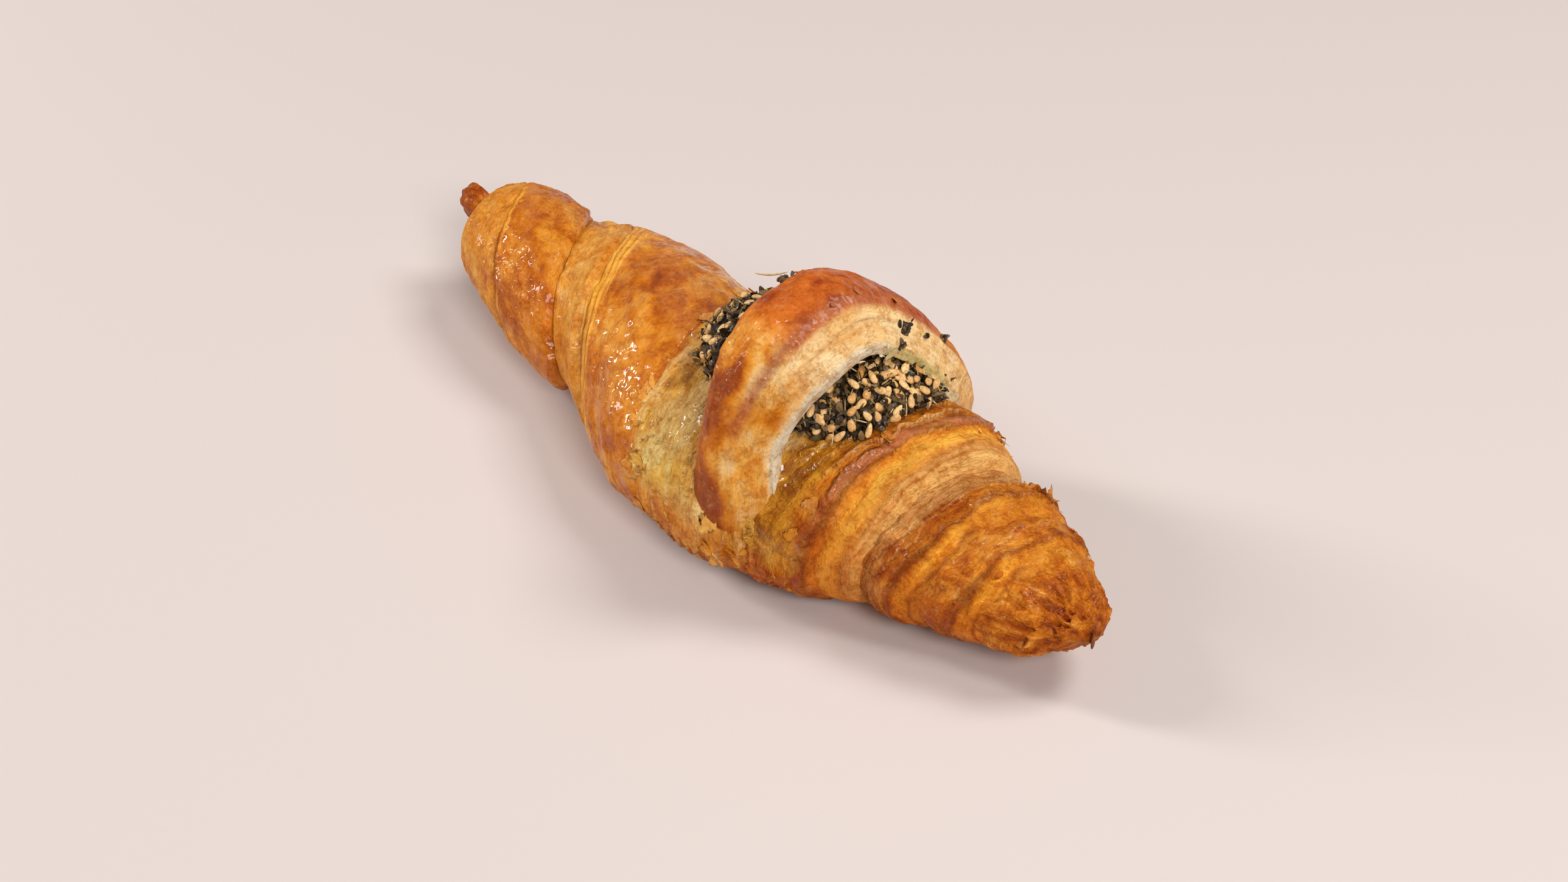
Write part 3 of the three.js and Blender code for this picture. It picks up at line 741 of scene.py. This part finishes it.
def filling_height(x, turn):
    """Height of the heap over the roll: 10 mm, 17 mm under the arch and 6 mm past it, with small bumps."""
    tall = ease(x, 6, 12) * ease(x, 31, 24)
    bumps = 0.7 * np.sin(1.3 * x + 9 * turn) * np.cos(0.7 * x - 13 * turn)
    return blend(blend(10, 6, ease(x, 24, 31)), 17, tall) + bumps


def pressed(places):
    """Places drawn in to a line inside the arch, where they would reach past it or through its cut side."""
    x = places[..., 0]
    left, right, slant = arch_edges(arch_angle(places))
    out, share = out_of_arch(places, 4.5 + 9.0 * np.clip((x - right) / slant, 0, 1))
    under = ease(x, left - 1.0, left + 0.5) * ease(x, right + slant + 4, right + slant)
    scale = blend(1, np.minimum(1, out ** (-1 / share)), under)
    y, z = (places[..., 1] - ARCH_Y) * scale + ARCH_Y, (places[..., 2] - ARCH_Z) * scale + ARCH_Z
    return np.stack([x, y, z], -1)


def heap_reach(along, across):
    """How near a place is to the heap's outline, a rounded rectangle: 0 in the middle and 1 on it."""
    return (np.abs(along) ** (2 / HEAP_CORNER) + np.abs(across) ** (2 / HEAP_CORNER)) ** (HEAP_CORNER / 2)


def filling_point(along, across, top):
    """A point on the heap, along and across from -1 to 1: its outline laid on the roll, its rim rounded."""
    x = blend(HEAP_START, HEAP_END, (along + 1) / 2)
    turn = blend(-1.0, 0.42, (across + 1) / 2) + 0.13 * along
    rim = np.sqrt(1 - np.minimum(1, heap_reach(along, across)) ** 5)
    return pressed(skin(x, turn, np.where(top, filling_height(x, turn) * rim, -1.6 * rim)))


def surface_normals(points):
    """Outward normals of a closed grid: the cross product of its directions, off the section's middle."""
    normal = np.cross(np.gradient(points, axis=0), np.roll(points, -1, 1) - np.roll(points, 1, 1))
    normal = normal / np.maximum(np.linalg.norm(normal, axis=-1, keepdims=True), 1e-9)
    return normal * np.sign(np.sum(normal * (points - points.mean(1, keepdims=True))))


def pushed_out(points, relief):
    """Grid points moved out along the surface's normals by a relief."""
    moved = points + surface_normals(points) * np.asarray(relief)[..., None]
    moved[[0, -1]] = points[[0, -1]].mean(1, keepdims=True)
    return moved


def heap_material():
    """Crumbled herbs or seeds: the tint with a fine mottle and an oily shine that follows gloss."""
    nodes = Nodes("oily herbs and seeds")
    place = nodes.make("ShaderNodeTexCoord").outputs["Object"]
    gloss = nodes.attribute("gloss")
    mottle = nodes.field(1800, 3, place)
    share = nodes.spread(mottle, 0.42, 0.70, 0.0, 0.7)
    base = nodes.colour("MULTIPLY", share, nodes.attribute("tint", "Color"), (0.62, 0.50, 0.36, 1))
    nodes.feed(nodes.shader, {
        "Base Color": base,
        "Roughness": nodes.math("MULTIPLY_ADD", gloss, -0.35, 0.65),
        "Specular IOR Level": 0.25,
        "Normal": nodes.raised(mottle, 0.6, 0.0004),
        "Coat Weight": nodes.times(gloss, 0.4),
        "Coat Roughness": 0.15,
        "Subsurface Weight": 0.08,
        "Subsurface Radius": (1.0, 0.6, 0.3),
        "Subsurface Scale": 0.001,
    })
    return nodes.material


heap_look = heap_material()


def heap_piece(obj):
    """Ties a piece of the filling to its solid."""
    obj.data.materials.append(heap_look)
    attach(obj, "root")
    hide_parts("seed_filling")


def herb_core():
    """The heap's dark core: the pillow of filling_point with lumps of 2.2 mm."""
    share = np.linspace(0, 1, 160)[:, None]
    around = np.linspace(0, 2 * np.pi, 300, endpoint=False)[None, :]
    out = np.sin(share * np.pi)
    ragged = out * (1 - 0.04 * np.sin(7 * around) ** 2 - 0.04 * np.sin(5 * around + 1) ** 2)
    along, across = (ragged * power(side(around), HEAP_CORNER) for side in (np.cos, np.sin))
    points = filling_point(along, across, share < 0.5)
    lumps = swirl(points, 2.2, 301)
    points = pushed_out(points, (0.7 * lumps - 0.25) * ease(out, 0.0, 0.02))
    tint = blend((0.016, 0.009, 0.003), (0.080, 0.046, 0.016), ease(lumps, -0.2, 0.8))
    heap_piece(closed_mesh("herb_core", points, tint, 0.4, 0.0, share, np.linspace(0, 1, 301)[None, :]))


herb_core()


def ball(columns, rows):
    """Unit ball as points and triangles."""
    a = np.linspace(0, np.pi, rows)[1:-1, None]
    b = np.linspace(0, 2 * np.pi, columns, endpoint=False)[None, :]
    points = np.concatenate([[[1, 0, 0]], sphere(a, b).reshape(-1, 3), [[-1, 0, 0]]])
    ring = np.arange(1, 1 + (rows - 2) * columns).reshape(rows - 2, columns)
    beside = np.roll(ring, -1, 1)
    quads = np.stack([ring[:-1], ring[1:], beside[1:], beside[:-1]], -1).reshape(-1, 4)
    start = np.stack([0 * ring[0], ring[0], beside[0]], -1)
    end = np.stack([0 * ring[0] + len(points) - 1, beside[-1], ring[-1]], -1)
    return points, np.concatenate([quads[:, [0, 1, 2]], quads[:, [0, 2, 3]], start, end])


def strewn(name, shape, triangles, at, outward, spin, tilt, tint, gloss):
    """One mesh of many small shapes, each at its own place, turned about and tipped off the normal there."""
    helper = np.where(np.abs(outward[:, :1]) < 0.8, [[1.0, 0, 0]], [[0, 1.0, 0]])
    side = np.cross(outward, helper)
    side = side / np.linalg.norm(side, axis=1, keepdims=True)
    ahead = np.cross(side, outward)
    along = ahead * np.cos(spin)[:, None] + side * np.sin(spin)[:, None]
    across = np.cross(outward, along)
    lean, rise = np.cos(tilt)[:, None], np.sin(tilt)[:, None]
    along, outward = along * lean + outward * rise, outward * lean - along * rise
    placed = at[:, None] + shape[..., :1] * along[:, None] + shape[..., 1:2] * across[:, None]
    placed = placed + shape[..., 2:] * outward[:, None]
    vertices = (placed.reshape(-1, 3) - MIDDLE) * MM
    vertices[:, 2] = np.maximum(vertices[:, 2], 0)
    count, each = len(at), shape.shape[1]
    loops = (triangles[None] + np.arange(count)[:, None, None] * each).reshape(-1)
    sizes = np.full(len(triangles) * count, 3)
    return mesh_object(name, vertices, loops, sizes, np.zeros((len(loops), 2)), np.repeat(tint, each, 0),
                       np.repeat(gloss, each), np.zeros(count * each))


def scattered(name, random, shape, triangles, at, normal, tints, darker, tilt, gloss):
    """Many small shapes of the heap, each turned, tipped and tinted at random between two colours."""
    count = len(at)
    tint = blend(*tints, random.uniform(0, 1, count) ** darker)
    spin, lean = random.uniform(0, 2 * np.pi, count), random.uniform(-tilt, tilt, count)
    shine = random.uniform(*gloss, count)
    heap_piece(strewn(name, shape, triangles, at, normal, spin, lean, tint, shine))


def thrown(random, count, least, clustered=-2.0, right=0.55):
    """Up to count places (along, across) on the heap where it shows, at random and least mm apart.

    They lie where a noise of 6 mm is above clustered, and the share right of them past the arch.
    """
    kept = []
    for _ in range(count * 30):
        along = random.uniform(0.56, 1.0) if random.random() < right else random.uniform(-1.0, 0.25)
        across = random.uniform(-0.98, 0.98)
        if heap_reach(along, across) > 0.99:
            continue
        place = np.array([HALF_HEAP * along, HALF_HEAP * across])
        apart = all(np.sum((place - other) ** 2) > least ** 2 for other in kept)
        if apart and noise(np.append(place, 0.0), 6, 303) > clustered:
            kept.append(place)
        if len(kept) == count:
            break
    along, across = (np.array(kept) / HALF_HEAP).T
    at = filling_point(along, across, True)
    start, end, slant = arch_edges(arch_angle(at))
    inside = (at[:, 0] > start - 0.5) & (at[:, 0] < end + slant) & (out_of_arch(at, 8.6)[0] > 1)
    return along[~inside], across[~inside]


def on_heap(along, across, raised):
    """Places on the heap's top, raised off it, and the outward normals there."""
    step = 0.03
    at = filling_point(along, across, True)
    ahead = filling_point(along + step, across, True) - filling_point(along - step, across, True)
    aside = filling_point(along, across + step, True) - filling_point(along, across - step, True)
    normal = np.cross(ahead, aside)
    normal = normal / np.maximum(np.linalg.norm(normal, axis=1, keepdims=True), 1e-9)
    normal = normal * np.where(normal[:, 2:] < 0, -1, 1)
    return at + normal * raised[:, None], normal


def sesame_seeds(random):
    """Seeds: balls drawn to a point at one end, 2.6 to 3.4 mm long, 1.4 to 1.9 wide and 0.9 to 1.2 thick."""
    along, across = thrown(random, 190, 1.35, -0.9, 0.62)
    count = len(along)
    unit, triangles = ball(14, 11)
    drop = unit * np.stack([np.ones(len(unit)), 1 - 0.30 * unit[:, 0], 1 - 0.22 * unit[:, 0]], 1)
    size = random.uniform([1.30, 0.70, 0.45], [1.70, 0.95, 0.60], (count, 3))
    at, normal = on_heap(along, across, random.uniform(0.1, 1.3, count))
    scattered("sesame_seeds", random, drop[None] * size[:, None], triangles, at, normal,
              ((0.66, 0.31, 0.075), (1.0, 0.66, 0.29)), 0.7, 0.5, (0.4, 1))


def dried_herbs(random):
    """Leaves: flat balls 1.2 to 3.4 mm long, bent along x^2, twisted along x y and crumpled by noise."""
    along, across = thrown(random, 1450, 0.5)
    count = len(along)
    unit, triangles = ball(8, 8)
    leaf = unit[None] * random.uniform([0.6, 0.3, 0.10], [1.7, 0.9, 0.18], (count, 3))[:, None]
    bend, twist = random.uniform(-0.6, 0.6, (count, 1)), random.uniform(-0.7, 0.7, (count, 1))
    crumple = noise(leaf + 7.3 * np.arange(count)[:, None, None], 0.7, 302)
    leaf[..., 2] += bend * leaf[..., 0] ** 2 + twist * leaf[..., 0] * leaf[..., 1] + 0.35 * crumple
    at, normal = on_heap(along, across, random.uniform(-0.4, 1.0, count))
    scattered("dried_herbs", random, leaf, triangles, at, normal,
              ((0.028, 0.015, 0.005), (0.30, 0.18, 0.065)), 2.8, 1.1, (0.3, 1))


def herb_stalks(random):
    """Straw-coloured splinters of stalk: round rods 2 to 5 mm long and 0.35 mm thick."""
    along, across = thrown(random, 60, 2.0)
    count = len(along)
    unit, triangles = ball(6, 9)
    shape = unit[None] * random.uniform([1.0, 0.15, 0.13], [2.4, 0.2, 0.17], (count, 3))[:, None]
    at, normal = on_heap(along, across, random.uniform(0.5, 1.1, count))
    scattered("herb_stalks", random, shape, triangles, at, normal,
              ((0.45, 0.30, 0.11), (0.74, 0.55, 0.28)), 1, 0.6, (0.4, 0.4))


random = np.random.default_rng(5)
sesame_seeds(random)
dried_herbs(random)
herb_stalks(random)


# The arch
# The sheet's long pointed end, laid over the filling as a strap. Its free end hangs low on the front.
# The top is egg-glazed and baked red-brown, and the cut side facing the thick arm shows pale cream layers.

FRONT_END, BACK_END = 1.69, -1.8  # angles of the arch's feet
ARCH_THICK = 9.5
SIDE_EDGE = (0.46, 0.14, 0.060)


def arch_line(angle, inset):
    """The strap's outline across the roll: half an ellipse, squarer in front and more pointed behind."""
    corner = np.where(angle > 0, FRONT_CORNER, BACK_CORNER)
    y = ARCH_Y - (ARCH_REACH - inset) * power(np.sin(angle), corner)
    return y, ARCH_Z + (ARCH_RISE - inset) * power(np.cos(angle), corner)


def closed_loop(corners, spacing, stretch):
    """A closed profile's corners set out evenly along its length and softened over two steps each way."""
    ring = np.array(corners + corners[:1], float)
    length = np.r_[0, np.cumsum(np.hypot(*np.diff(ring @ stretch, axis=0).T))]
    even = np.linspace(0, length[-1], int(length[-1] / spacing) + 1)
    out = np.stack([np.interp(even[:-1], length, column) for column in ring.T], -1)
    out = sum(weight * np.roll(out, k, 0) for k, weight in ((-2, 1), (-1, 2), (0, 3), (1, 2), (2, 1))) / 9
    return out, even


BAKED_SPOTS = [
    # angle in degrees, width share, half length in degrees, half width share, how much browner
    (42, 0.48, 7, 0.16, 0.55), (50, 0.35, 9, 0.22, 0.45), (57, 0.55, 7, 0.25, 0.35),
    (66, 0.40, 7, 0.30, 0.30), (27, 0.55, 8, 0.3, -0.14), (35, 0.80, 9, 0.25, -0.30),
    (47, 0.85, 7, 0.2, -0.25), (72, 0.85, 7, 0.25, -0.40), (80, 0.45, 6, 0.28, 0.40),
    (88, 0.35, 8, 0.5, 0.60), (84, 0.95, 6, 0.14, -0.30), (31, 0.71, 2, 0.05, 0.40),
    (3, 0.54, 2, 0.07, 0.30), (2, 0.8, 2.4, 0.06, 0.30), (18, 0.28, 6, 0.12, 0.15),
    (-40, 0.6, 14, 0.5, 0.1), (-75, 0.6, 16, 0.6, -0.2), (-95, 0.6, 12, 0.8, -0.2),
]


def arch_piece():
    """The strap: a section of width, slant and depth carried along arch_line, closed at both ends."""
    section, arc = closed_loop([
        (0, 0, 3.2), (0.07, 0, 1.6), (0.3, 0, 0.2), (0.55, 0, 0), (0.8, 0, 0.8), (1, 0, 3.0),
        (1, 0.35, 5.6), (1, 0.75, 8), (1, 1, 10), (0.97, 1, 13), (0.8, 0.6, 12), (0.5, 0.3, 10),
        (0.2, 0.1, 9.4), (0.03, 0, 8.6), (0, 0, 6),
    ], 0.36, np.array([[17.5, 0], [5.5, 0], [0, 1]]))
    width, cut, depth = (column[None, :] for column in section.T)
    along = (1 - np.cos(np.linspace(0, np.pi, 320)[:, None])) / 2
    angle = blend(FRONT_END, BACK_END, along)
    left, right, slant = arch_edges(angle)
    end = np.minimum(1, 26 * np.minimum(along, 1 - along)) ** 0.25
    station = left + (right - left) * width + slant * cut
    middle = (left + right + slant) / 2
    y, z = arch_line(angle, blend(ARCH_THICK / 2, depth, end))
    points = np.stack(np.broadcast_arrays(middle + (station - middle) * end, y, z), -1)
    strap = np.stack(np.broadcast_arrays(points[..., 0], angle * 38, depth), -1)
    under = ease(depth, 9.3, 9.8) + 0 * angle
    white_share = ease(depth + 0.5 * noise(strap * [0.3, 1, 0], 3, 215), 8.8, 9.8)
    side = ease(depth, 2.2, 3.2) * (width > 0.85) * (1 - under)
    bare = (1 - side) * (1 - under)
    strata = strap * [0.5, 0.07, 1.0]
    layer = rough(strata, 1.5, 201)
    relief = bare * (0.45 * swirl(strap, 9, 202) + 0.16 * swirl(strap, 2.6, 203))
    relief = relief + side * (0.35 * layer + 0.35 * rough(strap * [1, 0.4, 1], 3, 204))
    relief = relief + (under + 0.4 * side) * 0.3 * rough(strap, 4, 205) - 0.3
    points = pushed_out(points, relief)

    degrees = np.degrees(angle) + 0 * width
    level = 0.68 - 0.26 * ease(degrees + 5 * noise(strap, 8, 213), 16, 34)
    level = level + 0.09 * ease(degrees, 48, 66)
    level = level + 0.14 * swirl(strap, 7, 206) + 0.14 * swirl(strap, 2.5, 207)
    wobble = 3 * swirl(strap, 6, 208)
    for at, across, long, wide, browner in BAKED_SPOTS:
        near = hill(degrees + wobble, at, long) * hill(width + 0.05 * wobble, across, wide)
        level = level + 1.4 * browner * near
    level = level + 0.22 * hill(width, 0.03, 0.10) * ease(degrees, 20, 45)
    tint = baked(np.minimum(level, 1.02))
    # Painted sheen: over the crown the tint turns bluish mauve, standing in for the glaze's reflection of the
    # room.
    crown = ease(degrees, 34, 14) * ease(degrees, -62, -48)
    tint = blend(tint, tint * [0.98, 0.76, 1.5], crown)
    border = hill(depth + 0.5 * noise(strap, 5, 209), 1.9, 0.9) * (width > 0.7)
    border = border * ease(np.abs(degrees - 10), 62, 40)
    tint = blend(tint, SIDE_EDGE * (1.05 + 0.25 * layer[..., None]), 0.8 * border)
    golden = np.clip(0.4 + 0.4 * layer + 0.5 * swirl(strap, 5, 214), 0, 1)
    pale = blend((0.98, 0.74, 0.40), (0.90, 0.52, 0.17), golden)
    pale = blend(pale, (0.74, 0.36, 0.11), 0.6 * hill(layer, 0.60, 0.10) + 0.5 * hill(layer, -0.15, 0.05))
    toasted = baked(0.28 + 0.34 * swirl(strap, 6, 216) + 0.16 * swirl(strap, 2, 217))
    pale = blend(pale, toasted, ease(degrees, 26, 44) * ease(depth + 0.8 * noise(strap, 4, 218), 9.4, 7.2))
    # Painted shade: a dark line along a gap between the cut side's layers, near the top.
    gap_shade = hill(depth + 0.5 * noise(strap * [0, 1, 0], 14, 211), 5.2, 0.22)
    pale = blend(pale, (0.40, 0.26, 0.15), 0.8 * gap_shade * hill(degrees, -8, 18))
    tint = blend(tint, pale, side * (1 - 0.85 * border))
    white = blend((0.78, 0.66, 0.47), (0.66, 0.54, 0.22), ease(degrees, -10, -30) * ease(degrees, -75, -55))
    tint = blend(tint, white, white_share)
    gloss = bare * (0.42 + 0.32 * swirl(strap, 6, 212)) + 0.1
    obj = closed_mesh("arch", points, tint, gloss, 0.2 + 0.15 * side, arc[None, :], angle * 38)
    dough_piece(obj)
    return {"points": points, "tint": tint, "degrees": degrees, "width": width + 0 * degrees, "side": side}


arch = arch_piece()


# Loose flakes and crumbs
# Thin sheets of baked dough that stand off the torn edges or broke loose, and crumbs of herb that fell on
# the arch. Each flake is a shell of crust a fifth of a millimetre thick, curled and ragged at its rim.

LOW_FRONT = -30.3  # flakes keep behind this, so that none reaches past the solid's front


def spots_on(place, mask, count, random):
    """Places, normals and tints of grid points drawn at random where the mask allows."""
    chosen = random.choice(np.flatnonzero(mask), count, replace=False)
    fields = (place["points"], surface_normals(place["points"]), place["tint"])
    return [field.reshape(-1, 3)[chosen] for field in fields]


def crust_flakes(random):
    """Flakes: flat balls 1.6 to 6 mm long, their rims ragged by noise, curled along x^2 and y^2."""
    inner, big = inner_turn["turn"], slim_big_wrap
    first, second, third = thick_inner_wrap, thick_middle_wrap, thick_outer_wrap
    lip_one = (np.abs(first["off_edge"] - 1) < 1.2) & (first["turn"] < -40) & (first["turn"] > -95)
    skin_one = (first["face"] < 0.1) & (first["off_back"] > 0.3) & (first["off_edge"] < -3)
    skin_two = (second["face"] < 0.1) & (second["off_edge"] < -0.4) & (second["off_edge"] > -6)
    torn_end = (big["face"] < 0.1) & (np.abs(big["off_back"]) < 0.8) & (np.abs(big["turn"]) < 105)
    low = (inner > 72) & (inner < 104) & (inner_turn["x"] > -12) & (inner_turn["x"] < 40)
    crown = (np.abs(arch["width"] - 0.9) < 0.1) & (arch["degrees"] > -45) & (arch["degrees"] < 5)
    groups = [
        # fields, mask, count, least and greatest half length, greatest tilt
        (inner_turn, low, 26, 0.9, 3.0, 0.12),
        (first, skin_one & (np.abs(first["turn"]) < 105), 12, 0.8, 2.4, 0.06),
        (first, lip_one, 12, 0.8, 2.0, 0.5),
        (second, skin_two & (second["turn"] < -40) & (second["turn"] > -100), 30, 1.2, 3.0, 0.4),
        (third, (third["face"] < 0.1) & (third["off_edge"] > -4) & (third["turn"] < -50), 10, 0.8, 1.8, 0.3),
        (big, torn_end, 14, 0.8, 2.0, 0.15),
        (arch, crown & (arch["side"] < 0.5), 12, 0.8, 2.2, 0.4),
        (arch, (arch["width"] < 0.15) & (arch["degrees"] > -40) & (arch["degrees"] < 10), 6, 0.8, 1.6, 0.5),
    ]
    at, normal, tint, half, tilt = [], [], [], [], []
    for place, mask, count, least, greatest, lean in groups:
        drawn = spots_on(place, mask & (place["points"][..., 1] > LOW_FRONT), count, random)
        for kept, field in zip((at, normal, tint), drawn):
            kept.append(field)
        half.append(random.uniform(least, greatest, count))
        tilt.append(random.uniform(0.05, lean, count))
    at, normal, tint, half, tilt = map(np.concatenate, (at, normal, tint, half, tilt))
    count = len(at)
    unit, triangles = ball(18, 9)
    size = np.stack([half, half * random.uniform(0.35, 0.8, count), 0.10 + 0 * half], -1)
    shape = unit[None] * size[:, None]
    own = 9.1 * np.arange(count)[:, None, None] + 0 * shape
    shape[..., :2] *= 1 + 0.75 * noise(own + 1.7 * unit, 1.0, 401)[..., None] * (1 - unit[:, 2:] ** 2)
    curl = random.uniform(-0.05, 0.16, (count, 2))
    shape[..., 2] += curl[:, :1] * shape[..., 0] ** 2 + curl[:, 1:] * shape[..., 1] ** 2
    shape[..., 2] += 0.15 * noise(own + shape, 0.9, 402)
    tint = blend(tint, (0.93, 0.56, 0.22), random.uniform(0.0, 0.30, count))
    spin = random.uniform(0, 2 * np.pi, count)
    at = at + 0.05 * normal
    return strewn("crust_flakes", shape, triangles, at, normal, spin, tilt, tint, 0.25 + 0 * half)


def nearest_on(place, spot):
    """The grid point nearest to a spot, and the outward normal there."""
    points = place["points"].reshape(-1, 3)
    nearest = np.argmin(np.sum((points - spot) ** 2, 1))
    return points[nearest], surface_normals(place["points"]).reshape(-1, 3)[nearest]


CRUMBS = [
    # place on the arch, radius, number of leaves
    ((33.4, 18.5, 54.0), 1.3, 22), ((35.8, 15.0, 52.9), 0.8, 9), ((34.1, 24.0, 49.4), 0.7, 6),
    ((35.0, 31.3, 46.6), 1.0, 12), ((12.6, 2.0, 64.6), 1.4, 24),
]


def herb_crumbs(random):
    """Crumbs: little clumps of herb leaves, flat balls thrown inside a small dome on the arch."""
    at, normal = [], []
    for spot, radius, number in CRUMBS:
        foot, up = nearest_on(arch, np.array(spot))
        thrown_off = random.normal(0, 0.45 * radius, (number, 3))
        thrown_off += up * (np.abs(thrown_off @ up) - thrown_off @ up)[:, None]
        at.append(foot + thrown_off)
        normal.append(np.tile(up, (number, 1)))
    at, normal = np.concatenate(at), np.concatenate(normal)
    count = len(at)
    unit, triangles = ball(8, 7)
    shape = unit[None] * random.uniform([0.5, 0.3, 0.12], [1.2, 0.7, 0.25], (count, 3))[:, None]
    shape[..., 2] += 0.3 * noise(shape + 5.1 * np.arange(count)[:, None, None], 0.7, 403)
    scattered("herb_crumbs", random, shape, triangles, at, normal,
              ((0.03, 0.016, 0.006), (0.26, 0.17, 0.08)), 2, 1.2, (0.4, 0.4))


def fallen_stalk():
    """One long stalk beside the clump on the arch's top: a round rod 7 mm long and 0.45 mm thick."""
    unit, triangles = ball(8, 14)
    rod = unit * [3.5, 0.22, 0.22]
    rod[:, 2] += 0.05 * rod[:, 0] ** 2
    place, up = np.array([[10.9, 0.7, 64.3]]), np.array([[0.0, 0.0, 1.0]])
    heap_piece(strewn("fallen_stalk", rod[None], triangles, place, up, np.array([0.83]), np.array([0.05]),
                      np.array([[0.62, 0.40, 0.18]]), np.array([0.3])))


random = np.random.default_rng(11)
dough_piece(crust_flakes(random))
herb_crumbs(random)
fallen_stalk()


# Floor and light
# A plain pale ground, a wide soft lamp above and behind, a window's light from the front left and a soft
# lamp at the right.


def area_lamp(name, place, wide, high, watts):
    """A lamp of that width and height, aimed at the origin."""
    lamp = bpy.data.lights.new(name, "AREA")
    lamp.shape = "RECTANGLE"
    lamp.energy = watts
    lamp.size = wide
    lamp.size_y = high
    obj = bpy.data.objects.new(name, lamp)
    obj.location = place
    bpy.context.scene.collection.objects.link(obj)
    away = np.array(place) / np.linalg.norm(place)
    obj.rotation_euler = (np.arccos(away[2]), 0, np.arctan2(away[1], away[0]) + np.pi / 2)


bpy.ops.mesh.primitive_plane_add(size=6)
floor = bpy.context.object
floor.name = "floor"
ground = Nodes("pale ground")
ground.feed(ground.shader, {"Base Color": (0.66, 0.575, 0.54, 1), "Roughness": 0.8})
floor.data.materials.append(ground.material)

area_lamp("key", (0.35, 0.6, 1.15), 0.5, 0.5, 9.5)
area_lamp("window", (-0.86, -0.52, 0.62), 0.14, 0.5, 8)
area_lamp("fill", (0.85, -0.35, 0.8), 0.4, 0.4, 8)
world = bpy.data.worlds.new("soft light")
world.use_nodes = True
world.node_tree.nodes["Background"].inputs[0].default_value = (1, 0.92, 0.84, 1)
world.node_tree.nodes["Background"].inputs[1].default_value = 0.15
bpy.context.scene.world = world
